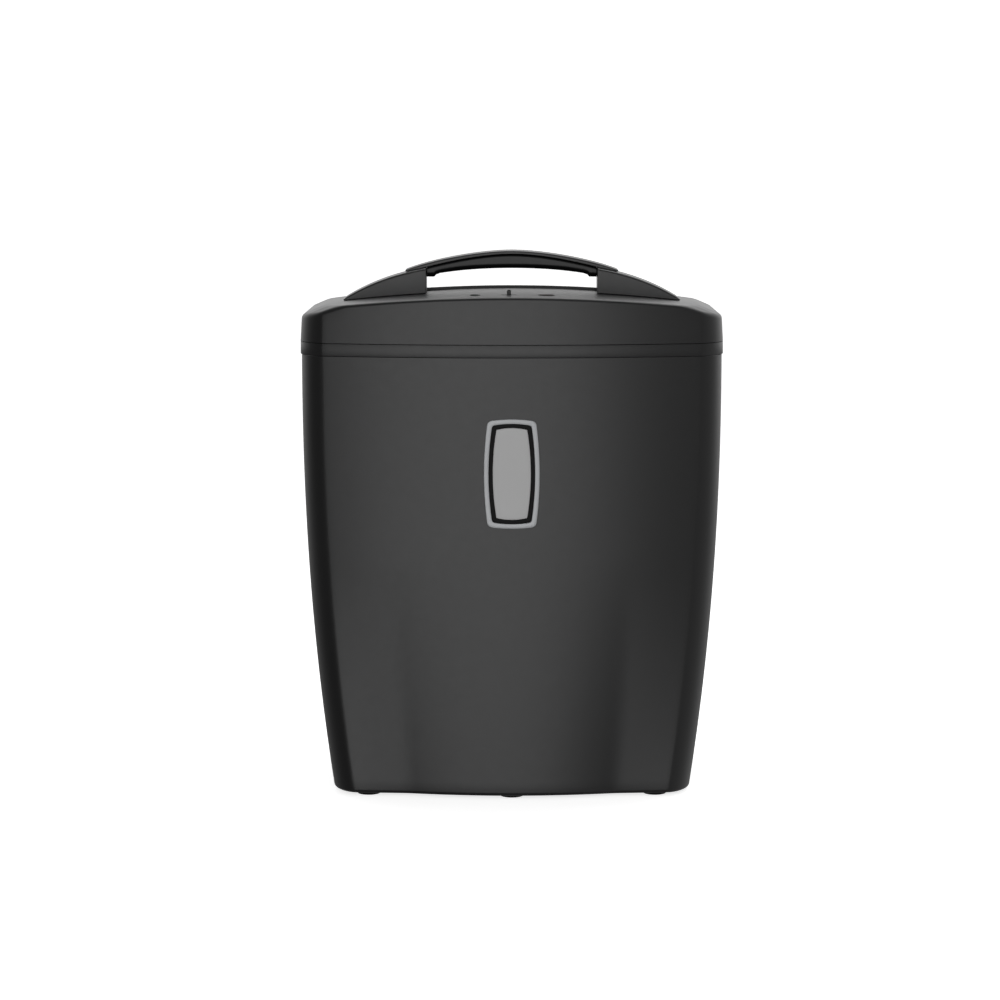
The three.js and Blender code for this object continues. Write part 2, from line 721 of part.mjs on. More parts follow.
// A closed shape, the same on both sides of the middle, from its underside, its corners and its top.
function mirroredShape(under, corners, top) {
  const shape = new THREE.Shape();
  const curve = (points, side) => {
    const [first, second, end] = points.slice(1).map(([x, z]) => [side * x, z]);
    shape.bezierCurveTo(...first, ...second, ...end);
  };
  shape.moveTo(...under[0]);
  curve(under, 1);
  for (const [x, z] of [...corners, top.at(-1)]) shape.lineTo(x, z);
  curve([...top].reverse(), 1);
  curve(top, -1);
  for (const [x, z] of [...[...corners].reverse(), under.at(-1)]) shape.lineTo(-x, z);
  curve([...under].reverse(), -1);
  return shape;
}

// The bar between the pods: an arched beam with a collar at each end.
function lowerBar() {
  const { frontY, backY, bevel, end, underside, collar, barTop } = HANDLE;
  return extrudeY(mirroredShape(underside, [collar, [end, collar[1]]], barTop), frontY, backY, bevel);
}

// The grip shell over the bar, its rounded noses lying on the pods.
function upperGrip() {
  const { frontY, backY, bevel, parting, nose, gripTop, overhang } = HANDLE;
  return extrudeY(mirroredShape(parting, [nose], gripTop), frontY - overhang, backY + overhang, bevel / 2);
}

// ---------------------------------------------------------------- feed throat, switch and lamps
// A block across the deck, its top arched like the deck's front edge but higher by a rise.
function archedBlock(half, rise, bottom, y0, y1, bevel) {
  const endZ = deckZ(half) + rise;
  const shape = new THREE.Shape();
  shape.moveTo(-half, bottom);
  shape.lineTo(half, bottom);
  shape.lineTo(half, endZ);
  shape.quadraticCurveTo(0, 2 * (DECK.top + rise) - endZ, -half, endZ);
  return extrudeY(shape, y0, y1, bevel);
}

function feedThroat() {
  const { half, frontY, backY, bottom, rise, slotHalf, slotFront, slotBack, lead, leadDepth } = THROAT;
  const { lip, lipShort, lipBevel, notchHalf, notchTop } = THROAT;
  const bodyBlock = archedBlock(half, rise, bottom, frontY, backY);
  const lipBar = archedBlock(half - lipShort, lip, deckZ(half), frontY, slotFront, lipBevel);
  const slot = box(-slotHalf, slotHalf, slotFront, slotBack, bottom - CLEAR, ABOVE);
  const funnel = polygon([
    [frontY + lead, ABOVE],
    [frontY + lead, DECK.top + lip],
    [slotFront - SEAT, deckZ(slotHalf) - leadDepth],
    [slotBack, deckZ(slotHalf) - leadDepth],
    [slotBack, ABOVE],
  ]);
  const notch = box(-notchHalf, notchHalf, frontY - CLEAR, slotFront + CLEAR, bottom - CLEAR, notchTop);
  return cut(join(bodyBlock, lipBar), slot, extrudeX(funnel, -slotHalf, slotHalf), notch);
}

const lampLens = ({ x, half }) => {
  const top = deckZ(x, LENS.y) + LENS.proud;
  return ellipsePost(x, LENS.y, top - LENS.height, top, half, LENS.halfDepth);
};

// A box centred on the knob at rest.
const knobBox = (half, halfDepth, z0, z1) =>
  box(KNOB.x - half, KNOB.x + half, KNOB.y - halfDepth, KNOB.y + halfDepth, z0, z1);

const switchBody = () =>
  cut(
    knobBox(SWITCH.half, SWITCH.halfDepth, SWITCH.bottom, SWITCH.top),
    knobBox(SWITCH_TRACK.half, SWITCH_TRACK.halfDepth, SWITCH_TRACK.bottom, SWITCH.top + CLEAR),
  );

function switchKnob() {
  const { x, y, halfWidth, halfDepth, bottom, rise, edge } = KNOB;
  const crown = deckZ(x, y) + rise;
  return join(
    knobBox(halfWidth, halfDepth, bottom, crown - edge),
    knobBox(halfWidth - edge, halfDepth, bottom, crown),
  );
}

// ---------------------------------------------------------------- cutting frame
// A rectangular plate across X, between two heights and two depths.
const slabX = ({ frontY, backY, bottom, top }, x0, x1) => box(x0, x1, frontY, backY, bottom, top);

function framePlate(side) {
  const [x0, x1] = [side * PLATE.x - PLATE.thick / 2, side * PLATE.x + PLATE.thick / 2];
  const hole = ({ y, z }, radius) => rod(x0 - CLEAR, x1 + CLEAR, y, z, radius + GAP, 16);
  const holes = [
    ...[FRONT_SHAFT, REAR_SHAFT].map((shaft) => hole(shaft, BUSH.outer)),
    ...TIE_RODS.map(([, y, z]) => hole({ y, z }, TIE.spigot)),
  ];
  if (side > 0) holes.push(hole(MOTOR_AXIS, MOTOR.boss), hole(IDLER, AXLE.radius));
  return cut(slabX(PLATE, x0, x1), ...holes);
}

function tieRod(y, z) {
  const inner = PLATE.x - PLATE.thick / 2 - GAP;
  const outer = PLATE.x + TIE.beyond;
  return join(rod(-inner, inner, y, z, TIE.radius), rod(-outer, outer, y, z, TIE.spigot));
}

// Where a disc starts: the rear roller's discs stand in the gaps of the front one's.
const discX = (i, rear) => (i - CUTTER.discs / 2 + (rear ? 0.5 : 0)) * CUTTER.pitch;

// One hooked cutting disc: every other corner is cut back behind its hook.
function cutterDisc(shaft, x, turn) {
  const { sides, discRadius, notch, hook, discWidth } = CUTTER;
  const points = Array.from({ length: sides }, (_, i) => {
    const low = i % 2 === 1;
    const radius = low ? discRadius - notch : discRadius;
    const angle = turn + ((low ? i - hook : i) / sides) * 2 * Math.PI;
    return [shaft.y + radius * Math.cos(angle), shaft.z + radius * Math.sin(angle)];
  });
  return extrudeX(polygon(points), x, x + discWidth);
}

function cutterRoller(shaft, rear) {
  const reach = PLATE.x - PLATE.thick / 2 - CUTTER.coreInset;
  const journalRight = rear ? CUTTER.journalRear : CUTTER.journalFront;
  return join(
    rod(-reach, reach, shaft.y, shaft.z, CUTTER.coreRadius, CUTTER.sides),
    rod(CUTTER.journalLeft, journalRight, shaft.y, shaft.z, CUTTER.journal),
    ...Array.from({ length: CUTTER.discs }, (_, i) => cutterDisc(shaft, discX(i, rear), i * CUTTER.twist)),
  );
}

// A comb that strips the discs: a bar outward of a roller, with a finger into each gap between its discs.
function comb(shaft, outward, rear) {
  const { half, thick, halfHeight, fingerHalf, fingerHalfHeight, clearCore, clearDisc } = COMB;
  const around = (middle, reach) => [middle - reach, middle + reach];
  const tip = shaft.y + outward * (CUTTER.coreRadius + clearCore);
  const barNear = shaft.y + outward * (CUTTER.discRadius + clearDisc);
  const ranged = (a, b) => [Math.min(a, b), Math.max(a, b)];
  const barY = ranged(barNear, barNear + outward * thick);
  const bar = blockOf({ x: around(0, half), y: barY, z: around(shaft.z, halfHeight) });
  const fingers = Array.from({ length: CUTTER.discs - 1 }, (_, i) => {
    const middle = discX(i, rear) + (CUTTER.discWidth + CUTTER.pitch) / 2;
    return blockOf({
      x: around(middle, fingerHalf),
      y: ranged(tip, barNear + outward),
      z: around(shaft.z, fingerHalfHeight),
    });
  });
  return join(bar, ...fingers);
}

// A flanged bearing bush, its flange on the inner side of its plate.
function bush(side, shaft) {
  const face = PLATE.x - PLATE.thick / 2;
  const end = face + PLATE.thick + BUSH.proud;
  const profile = [
    [BUSH.inner, face - BUSH.flangeThick],
    [BUSH.flange, face - BUSH.flangeThick],
    [BUSH.flange, face - GAP],
    [BUSH.outer, face - GAP],
    [BUSH.outer, end],
    [BUSH.inner, end],
  ].map(([radius, along]) => [radius, side * along]);
  return turned(profile, shaft);
}

// ---------------------------------------------------------------- gear train and motor
const involute = (angle) => Math.tan(angle) - angle;

// Down one flank of a tooth and up the other, as heights above the pitch line in modules and sides.
const FLANK = [
  [-1.15, -1],
  [0.85, -1],
  [0.85, 1],
  [-1.15, 1],
];

// An involute gear's outline, with its first tooth at a phase angle from +Y.
function gearShape(gear, centre, phase) {
  const { module: size, teeth } = gear;
  const pitch = pitchRadius(gear);
  const base = pitch * Math.cos(PRESSURE_ANGLE);
  const halfAngle = (radius) => {
    const flank = involute(Math.acos(Math.min(1, base / radius)));
    return Math.PI / (2 * teeth) - BACKLASH / (2 * pitch) + involute(PRESSURE_ANGLE) - flank;
  };
  const points = [];
  for (let tooth = 0; tooth < teeth; tooth++) {
    const middle = phase + (tooth * 2 * Math.PI) / teeth;
    for (const [height, side] of FLANK) {
      const radius = pitch + height * size;
      const angle = middle + side * halfAngle(radius);
      points.push([centre.y + radius * Math.cos(angle), centre.z + radius * Math.sin(angle)]);
    }
  }
  return polygon(points);
}

const gearWheel = (gear, centre, phase) =>
  extrudeX(gearShape(gear, centre, phase), gear.x - gear.width / 2, gear.x + gear.width / 2);

const bored = (wheel, { y, z }, radius) => cut(wheel, rod(PLATE.x, GEAR_PLATE.x1, y, z, radius + GAP));

const syncGear = (shaft, phase) => bored(gearWheel(SYNC_GEAR, shaft, phase), shaft, CUTTER.journal);

function driveGear() {
  const face = DRIVE_GEAR.x - DRIVE_GEAR.width / 2;
  const { inner, outer, depth } = DRIVE_WEB;
  const web = [
    [inner, face - CLEAR],
    [outer, face - CLEAR],
    [outer, face + depth],
    [inner, face + depth],
  ];
  const wheel = cut(gearWheel(DRIVE_GEAR, REAR_SHAFT, 0), turned(web, REAR_SHAFT));
  return bored(wheel, REAR_SHAFT, CUTTER.journal);
}

function idlerGear() {
  const large = gearWheel(IDLER_LARGE, IDLER, 0);
  const small = gearWheel(IDLER_SMALL, IDLER, Math.PI / IDLER_SMALL.teeth);
  const hub = rod(IDLER_HUB.x0, IDLER_HUB.x1, IDLER.y, IDLER.z, IDLER_HUB.radius);
  return bored(join(large, small, hub), IDLER, AXLE.radius);
}

const idlerAxle = () => rod(AXLE.x0, AXLE.x1, IDLER.y, IDLER.z, AXLE.radius);

// The outer bearing plate of the gear train, standing off the right frame plate on four feet.
function gearPlate() {
  const { frontY, backY, bottom, top, x0, x1, inset, footRadius } = GEAR_PLATE;
  const footStart = PLATE.x + PLATE.thick / 2 + GAP;
  const feet = [frontY + inset, backY - inset].flatMap((y) =>
    [bottom + inset, top - inset].map((z) => rod(footStart, x0 + SEAT, y, z, footRadius)),
  );
  const hole = ({ y, z }, radius) => rod(x0 - CLEAR, x1 + CLEAR, y, z, radius + GAP);
  const slab = slabX(GEAR_PLATE, x0, x1);
  return cut(join(slab, ...feet), hole(REAR_SHAFT, CUTTER.journal), hole(IDLER, AXLE.radius));
}

const motorFace = PLATE.x - PLATE.thick / 2 - GAP;
const motorBack = motorFace - MOTOR.length;

// The motor's drawn can, open at its back, with a boss in the frame plate at its front.
function motorCan() {
  const { radius, wall, faceThick, boss, bossProud, bore, sides } = MOTOR;
  const profile = [
    [bore, motorFace - faceThick],
    [radius - wall, motorFace - faceThick],
    [radius - wall, motorBack],
    [radius, motorBack],
    [radius, motorFace],
    [boss, motorFace],
    [boss, motorFace + bossProud],
    [bore, motorFace + bossProud],
  ];
  return turned(profile, { ...MOTOR_AXIS, sides });
}

function motorEndCap() {
  const { radius, bore, sides } = MOTOR;
  const { thick, seatOuter, seatInner, seatDepth } = END_CAP;
  const profile = [
    [bore, motorBack - thick],
    [radius, motorBack - thick],
    [radius, motorBack - GAP],
    [seatOuter, motorBack - GAP],
    [seatInner, motorBack + seatDepth],
    [bore, motorBack + seatDepth],
  ];
  return turned(profile, { ...MOTOR_AXIS, sides });
}

// The rotor: a shaft with the armature, the pinion at its front end and a cooling fan at its back end.
function motorRotor() {
  const { y, z } = MOTOR_AXIS;
  const { shaft, shaftBehind, shaftEnd, armature, armatureInset } = ROTOR;
  const fanX = motorBack - FAN.behind;
  const blades = Array.from({ length: FAN.blades }, (_, i) => {
    const geometry = new THREE.BoxGeometry(FAN.bladeWidth, FAN.bladeLength, FAN.bladeThick);
    geometry.rotateX((i * Math.PI) / FAN.blades);
    return solid(geometry.translate(fanX + FAN.width / 2, y, z));
  });
  return join(
    rod(motorBack - shaftBehind, shaftEnd, y, z, shaft),
    rod(motorBack + armatureInset, motorFace - armatureInset, y, z, armature, MOTOR.sides),
    rod(fanX, fanX + FAN.width, y, z, FAN.hub),
    gearWheel(MOTOR_PINION, MOTOR_AXIS, Math.PI / MOTOR_PINION.teeth),
    ...blades,
  );
}

// ---------------------------------------------------------------- electrics
const capacitor = () => post(CAPACITOR.x, CAPACITOR.y, CAPACITOR.bottom, CAPACITOR.top, CAPACITOR.radius);

// The paper sensor: a switch with two ears that carry its lever's pin.
function sensorSwitch() {
  const { thick, y, z } = SENSOR_EAR;
  const [left, right] = SENSOR.x;
  return join(
    blockOf(SENSOR),
    blockOf({ x: [left, left + thick], y, z }),
    blockOf({ x: [right - thick, right], y, z }),
  );
}

function sensorLever() {
  const { y, z, pin, pinHalf, armHalf, armHalfThick, reach } = LEVER;
  const arm = box(-armHalf, armHalf, y, reach, z - armHalfThick, z + armHalfThick);
  return join(rod(-pinHalf, pinHalf, y, z, pin), arm);
}

// The plunger that the bin's tab pushes up into the interlock switch when the head stands on the bin.
function interlockPlunger() {
  const { x, y, pin, pinTop, head, headBottom, headTop } = INTERLOCK;
  return join(post(x, y, BIN.rim + GAP, pinTop, pin), post(x, y, headBottom, headTop, head));
}

// ---------------------------------------------------------------- the assembly
const shredder = new THREE.Group();

function add(name, piece, material) {
  const mesh = new THREE.Mesh(geometryOf(piece), material.clone());
  mesh.name = name;
  shredder.add(mesh);
}

add("bin_shell", binShell(), MATERIAL.body);
add("window_bezel", windowBezel(), MATERIAL.silver);
add("window_gasket", windowGasket(), MATERIAL.rubber);
add("window_pane", windowPane(), MATERIAL.pane);
for (const [end, { centreY, x, y }] of [
  ["front", FRONT_FEET],
  ["rear", REAR_FEET],
]) {
  add(`foot_${end}_centre`, foot(0, centreY), MATERIAL.rubber);
  add(`foot_${end}_left`, foot(-x, y), MATERIAL.rubber);
  add(`foot_${end}_right`, foot(x, y), MATERIAL.rubber);
}

add("head_top_cover", topCover(), MATERIAL.body);
add("head_base", headBase(), MATERIAL.body);
for (const [name, x, y] of SCREWS) add(`cover_screw_${name}`, coverScrew(x, y), MATERIAL.steel);
add("cord_gland", cordGland(), MATERIAL.rubber);
add("handle_pod_left", handlePod(-1), MATERIAL.body);
add("handle_pod_right", handlePod(1), MATERIAL.body);
add("handle_lower_bar", lowerBar(), MATERIAL.trim);
add("handle_upper_grip", upperGrip(), MATERIAL.body);
add("feed_throat", feedThroat(), MATERIAL.trim);
add("standby_lamp_lens", lampLens(LENS.left), MATERIAL.lensGreen);
add("overheat_lamp_lens", lampLens(LENS.right), MATERIAL.lens);
add("switch_body", switchBody(), MATERIAL.blackPlastic);
add("switch_knob", switchKnob(), MATERIAL.trim);

add("frame_plate_left", framePlate(-1), MATERIAL.steel);
add("frame_plate_right", framePlate(1), MATERIAL.steel);
for (const [name, y, z] of TIE_RODS) add(`tie_rod_${name}`, tieRod(y, z), MATERIAL.steel);
add("bush_front_left", bush(-1, FRONT_SHAFT), MATERIAL.brass);
add("bush_front_right", bush(1, FRONT_SHAFT), MATERIAL.brass);
add("bush_rear_left", bush(-1, REAR_SHAFT), MATERIAL.brass);
add("bush_rear_right", bush(1, REAR_SHAFT), MATERIAL.brass);
add("front_cutter", cutterRoller(FRONT_SHAFT, false), MATERIAL.steel);
add("rear_cutter", cutterRoller(REAR_SHAFT, true), MATERIAL.steel);
add("front_comb", comb(FRONT_SHAFT, -1, false), MATERIAL.blackPlastic);
add("rear_comb", comb(REAR_SHAFT, 1, true), MATERIAL.blackPlastic);

add("front_sync_gear", syncGear(FRONT_SHAFT, 0), MATERIAL.steel);
add("rear_sync_gear", syncGear(REAR_SHAFT, Math.PI / SYNC_GEAR.teeth), MATERIAL.steel);
add("drive_gear", driveGear(), MATERIAL.gear);
add("idler_gear", idlerGear(), MATERIAL.gear);
add("idler_axle", idlerAxle(), MATERIAL.steel);
add("gear_plate", gearPlate(), MATERIAL.steel);
add("motor_can", motorCan(), MATERIAL.motor);
add("motor_end_cap", motorEndCap(), MATERIAL.blackPlastic);
add("motor_rotor", motorRotor(), MATERIAL.steel);

add("control_board", blockOf(BOARD), MATERIAL.board);
add("run_capacitor", capacitor(), MATERIAL.motor);
add("reversing_relay", blockOf(RELAY), MATERIAL.blackPlastic);
add("paper_sensor_switch", sensorSwitch(), MATERIAL.blackPlastic);
add("paper_sensor_lever", sensorLever(), MATERIAL.gear);
add("interlock_switch", blockOf(INTERLOCK_SWITCH), MATERIAL.blackPlastic);
add("interlock_plunger", interlockPlunger(), MATERIAL.gear);

export default shredder;
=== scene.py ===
"""Paper shredder: fine shells over the CAD frame, a studio and one camera.

Lengths are in metres, +Z is up and the front faces -Y.
"""

import json
import math

import bmesh
import bpy
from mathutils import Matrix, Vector


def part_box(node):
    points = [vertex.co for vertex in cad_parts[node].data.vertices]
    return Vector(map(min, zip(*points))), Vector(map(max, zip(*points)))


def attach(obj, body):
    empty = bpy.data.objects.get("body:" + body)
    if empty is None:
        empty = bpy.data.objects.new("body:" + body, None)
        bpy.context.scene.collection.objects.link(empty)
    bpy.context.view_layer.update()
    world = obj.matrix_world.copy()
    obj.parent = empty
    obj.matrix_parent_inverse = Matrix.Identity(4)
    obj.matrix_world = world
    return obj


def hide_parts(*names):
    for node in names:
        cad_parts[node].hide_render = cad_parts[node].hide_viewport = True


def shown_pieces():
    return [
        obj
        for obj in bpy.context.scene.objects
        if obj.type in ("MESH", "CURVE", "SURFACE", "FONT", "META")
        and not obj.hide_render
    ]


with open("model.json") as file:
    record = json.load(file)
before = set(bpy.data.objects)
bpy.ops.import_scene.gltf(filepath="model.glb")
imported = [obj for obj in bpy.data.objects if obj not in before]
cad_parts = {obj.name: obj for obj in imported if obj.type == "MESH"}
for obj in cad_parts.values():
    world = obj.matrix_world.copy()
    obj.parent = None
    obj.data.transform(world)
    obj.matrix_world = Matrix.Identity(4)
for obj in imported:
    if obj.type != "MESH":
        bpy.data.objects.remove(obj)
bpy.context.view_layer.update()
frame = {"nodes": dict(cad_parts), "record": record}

MM = 0.001

# ------------------------------------------------------------------ driving dimensions, from the frame
BIN_LOW, BIN_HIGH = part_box("bin_shell")
BASE_LOW, BASE_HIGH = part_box("head_base")
COVER_LOW, COVER_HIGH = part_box("head_top_cover")
FRONT = BIN_LOW.y  # the front face on the centre line
REAR = BASE_HIGH.y
HEAD_HALF = BASE_HIGH.x
BIN_HALF = BIN_HIGH.x
BIN_BOTTOM, BIN_RIM = BIN_LOW.z, BIN_HIGH.z
SEAM = BASE_HIGH.z
RIM_GAP = 0.15 * MM  # the dark line between the bin and the head
FLANGE_BOTTOM = BIN_RIM + RIM_GAP

FRONT_RADIUS = 605 * MM  # plan radius of the bowed front
NARROWING, NARROWING_POWER = 26.7 * MM, 2.2  # how the sides draw in from the rim to the floor
FRONT_TAPER = 0.005  # the front leans in by this times the height below the rim, squared
REAR_TAPER = 0.05  # and the rear likewise
CORNER_X, CORNER_Y, CORNER_EXIT = 20.5 * MM, 33 * MM, 18 * MM
BIN_ENTRY, HEAD_ENTRY = 9 * MM, 5 * MM
REAR_CORNER = 28 * MM
PANEL_TOP, PANEL_HALF_TOP, PANEL_HALF_BOTTOM, PANEL_RADIUS = 200 * MM, 100 * MM, 88 * MM, 345 * MM
CREASE_SOFT = 5 * MM  # the panel's crease is rounded over this much either side
WALL = 2.6 * MM
DECK_ARCH = 0.397  # the deck drops by this times the distance from the centre line, squared
DECK_RISE, DECK_BREAK, DECK_FALL = 0.015, 20 * MM, 0.07
DECK_TOP = COVER_HIGH.z - DECK_RISE * (DECK_BREAK - FRONT)  # on the centre line at the front edge
DECK_SOFT, SHOULDER_SOFT = 0.8 * MM, 1.2 * MM  # rounding along the break and where a shoulder meets the deck
SHOULDER_BASE, SHOULDER_SLOPE = 408.8 * MM, 0.42
LENS_GAP = 0.4 * MM
COVER_DRAFT = 0.046  # the cover's walls lean in by this share of their height

FRONT_STEPS, CORNER_STEPS, REAR_STEPS = 40, 22, 10


def lerp(a, b, t):
    return a + (b - a) * t


def smooth_min(a, b, soft):
    """The lower of two heights, rounded where they meet."""
    h = max(0.0, min(1.0, 0.5 + 0.5 * (b - a) / soft))
    return lerp(b, a, h) - soft * h * (1 - h)


def bezier(points, t):
    """A point on the Bezier curve of any degree through its control points."""
    while len(points) > 1:
        points = [lerp(a, b, t) for a, b in zip(points, points[1:])]
    return points[0]


# ------------------------------------------------------------------ body outline
def deck_z(x, y=FRONT):
    """The deck is arched across and rises gently from its front edge."""
    return DECK_TOP - DECK_ARCH * x * x + DECK_RISE * (y - FRONT)


def raw_sag(x, z, corner_start):
    """How far the front face lies behind its centre line point."""
    plain = x * x / (2 * FRONT_RADIUS)
    if z >= PANEL_TOP:
        return plain
    crease = lerp(PANEL_HALF_BOTTOM, PANEL_HALF_TOP, z / PANEL_TOP)
    pillow_end = crease * crease / (2 * PANEL_RADIUS)
    corner_sag = corner_start * corner_start / (2 * FRONT_RADIUS)
    flank = lerp(pillow_end, corner_sag, (x - crease) / (corner_start - crease))
    shaped = x * x / (2 * PANEL_RADIUS) if x < crease else flank
    return lerp(plain, shaped, 1 - z / PANEL_TOP)


def front_sag(x, z, corner_start):
    """The front's sag with the panel's crease rounded over a few millimetres."""
    offsets = [CREASE_SOFT * k / 2 for k in (-2, -1, 0, 1, 2)]
    return sum(raw_sag(abs(x + d), z, corner_start) for d in offsets) / len(offsets)


def half_outline(z, half_width, entry):
    """The right half of the plan outline at a height, from the front centre to the flat rear."""
    below = max(0.0, BIN_RIM - z)
    front = FRONT + FRONT_TAPER * below**2
    rear = REAR - REAR_TAPER * below**2
    start_x = half_width - CORNER_X
    points = []
    for i in range(FRONT_STEPS):
        x = start_x * i / FRONT_STEPS
        points.append(Vector((x, front + front_sag(x, z, start_x))))
    start = Vector((start_x, front + front_sag(start_x, z, start_x)))
    along = (start - points[-1]).normalized()
    end = Vector((half_width, start.y + CORNER_Y))
    controls = [start, start + along * entry, end - Vector((0, CORNER_EXIT)), end]
    points += [bezier(controls, i / CORNER_STEPS) for i in range(CORNER_STEPS + 1)]
    for i in range(REAR_STEPS + 1):
        turn = math.pi / 2 * i / REAR_STEPS
        centre = Vector((half_width - REAR_CORNER, rear - REAR_CORNER))
        points.append(centre + REAR_CORNER * Vector((math.cos(turn), math.sin(turn))))
    return points


def ring_from(half, inset, height):
    """A closed ring from a half outline, moved inwards, at a height or at a height that follows x and y."""
    ring = half + [Vector((-p.x, p.y)) for p in reversed(half[1:])]
    count = len(ring)
    made = []
    for i, p in enumerate(ring):
        along = (ring[(i + 1) % count] - ring[i - 1]).normalized()
        x, y = p.x - along.y * inset, p.y + along.x * inset
        z = height(x, y) if callable(height) else height
        made.append(Vector((x, y, z)))
    return made


def bin_half(z):
    return BIN_HALF - NARROWING * max(0.0, (BIN_RIM - z) / BIN_RIM) ** NARROWING_POWER


def bin_ring(z, inset, height=None):
    return ring_from(half_outline(z, bin_half(z), BIN_ENTRY), inset, z if height is None else height)


HEAD_OUTLINE = half_outline(BIN_RIM, HEAD_HALF, HEAD_ENTRY)


def head_ring(inset, height):
    return ring_from(HEAD_OUTLINE, inset, height)


def shrunk(ring, share, height):
    """A ring drawn in towards the middle of the plan, laid at a height that follows x and y."""
    made = []
    for p in ring:
        x, y = p.x * share, p.y * share
        made.append(Vector((x, y, height(x, y) if callable(height) else height)))
    return made


# ------------------------------------------------------------------ mesh tools
def new_object(name, verts, faces, smooth_angle=30):
    mesh = bpy.data.meshes.new(name)
    mesh.from_pydata([tuple(v) for v in verts], [], faces)
    mesh.validate()
    work = bmesh.new()
    work.from_mesh(mesh)
    bmesh.ops.recalc_face_normals(work, faces=work.faces)
    work.to_mesh(mesh)
    work.free()
    obj = bpy.data.objects.new(name, mesh)
    bpy.context.scene.collection.objects.link(obj)
    soften(obj, smooth_angle)
    return obj


def soften(obj, smooth_angle=30):
    """Smooth shading, split where faces meet more sharply than the angle."""
    obj.data.shade_smooth()
    obj.data.set_sharp_from_angle(angle=math.radians(smooth_angle))


def skin(name, rings, looped=False, smooth_angle=30):
    """A mesh through rings of equal point counts, capped at both ends, or joined end to end if looped."""
    count = len(rings[0])
    verts = [v for ring in rings for v in ring]
    faces = []
    pairs = [(r, r + 1) for r in range(len(rings) - 1)]
    if looped:
        pairs.append((len(rings) - 1, 0))
    for low, high in pairs:
        for i in range(count):
            j = (i + 1) % count
            faces.append((low * count + i, low * count + j, high * count + j, high * count + i))
    if not looped:
        faces.append(tuple(reversed(range(count))))
        faces.append(tuple((len(rings) - 1) * count + i for i in range(count)))
    return new_object(name, verts, faces, smooth_angle)


def block(name, low, high):
    """A plain box, to cut other pieces with or to round off."""
    corners = [(x, y, z) for x in (low[0], high[0]) for y in (low[1], high[1]) for z in (low[2], high[2])]
    faces = [(0, 1, 3, 2), (4, 6, 7, 5), (0, 4, 5, 1), (2, 3, 7, 6), (0, 2, 6, 4), (1, 5, 7, 3)]
    return new_object(name, corners, faces)


def apply_modifiers(obj):
    """Bakes an object's modifiers into its mesh."""
    graph = bpy.context.evaluated_depsgraph_get()
    mesh = bpy.data.meshes.new_from_object(obj.evaluated_get(graph))
    obj.modifiers.clear()
    obj.data = mesh


def cut(obj, *cutters):
    """Takes the cutters out of an object and removes them."""
    for cutter in cutters:
        knife = obj.modifiers.new("cut", "BOOLEAN")
        knife.operation = "DIFFERENCE"
        knife.solver = "EXACT"
        knife.object = cutter
        apply_modifiers(obj)
        bpy.data.objects.remove(cutter)
    soften(obj)
    return obj


def bevel(obj, width, segments=3, angle=35):
    edge = obj.modifiers.new("edge", "BEVEL")
    edge.width = width
    edge.segments = segments
    edge.limit_method = "ANGLE"
    edge.angle_limit = math.radians(angle)
    return obj


def flat_faced(obj):
    """Keeps large flat faces flat where they run into rounded edges."""
    obj.modifiers.new("flat", "WEIGHTED_NORMAL").keep_sharp = True
    return obj


def place(obj, body, slot, *replaced):
    """Gives a finished piece its material, its CAD body and the nodes it stands for."""
    obj.data.materials.clear()
    obj.data.materials.append(MATERIALS[slot])
    if replaced:
        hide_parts(*replaced)
    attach(obj, body)
    return obj


def section_ring(x, y0, y1, z0, z1, top_round, low_round, steps=5):
    """A rounded rectangle in Y and Z at one X."""
    half = min((y1 - y0) / 2, (z1 - z0) / 2) * 0.98
    corners = [
        (y1, z0, min(low_round, half), -90, -1, 1),
        (y1, z1, min(top_round, half), 0, -1, -1),
        (y0, z1, min(top_round, half), 90, 1, -1),
        (y0, z0, min(low_round, half), 180, 1, 1),
    ]
    ring = []
    for y, z, radius, first, side_y, side_z in corners:
        for i in range(steps + 1):
            turn = math.radians(first + 90 * i / steps)
            cy, cz = y + side_y * radius, z + side_z * radius
            ring.append(Vector((x, cy + radius * math.cos(turn), cz + radius * math.sin(turn))))
    return ring


def beam(name, stations, y0, y1, top_round, low_round, end_round=0.8 * MM):
    """A bar along X through (x, low z, high z) stations, with rounded edges and softened ends."""
    rings = []
    last = len(stations) - 1
    for i, (x, low, high) in enumerate(stations):
        if i == 0 or i == last:
            sign = 1 if i == 0 else -1
            ends = [(0, end_round), (0.3 * end_round, 0.3 * end_round), (end_round, 0)]
            for shift, inset in ends if i == 0 else reversed(ends):
                near, far = y0 + inset, y1 - inset
                bottom, top = low + inset, high - inset
                rings.append(section_ring(x + sign * shift, near, far, bottom, top, top_round, low_round))
        else:
            rings.append(section_ring(x, y0, y1, low, high, top_round, low_round))
    return flat_faced(skin(name, rings, smooth_angle=40))


# ------------------------------------------------------------------ materials
NOISE_LOW, NOISE_HIGH = 0.3, 0.7  # the range that most of a noise texture falls in
DRIFT_SCALE, MOTTLE_SCALE = 9, 160  # slow colour drift and finer patches of gloss
GLOSS_SPREAD = 0.015
GRAIN_DEPTH = 0.1 * MM
COAT_ROUGHNESS = 0.15
METAL_DRIFT_SCALE, METAL_DARK = 25, 0.75
METAL_SMOOTHER, METAL_ROUGHER = 0.08, 0.1
SCRATCH_STRENGTH, SCRATCH_DEPTH = 0.15, 0.05 * MM


def nodes_of(material):
    material.use_nodes = True
    tree = material.node_tree
    return tree, tree.nodes["Principled BSDF"]


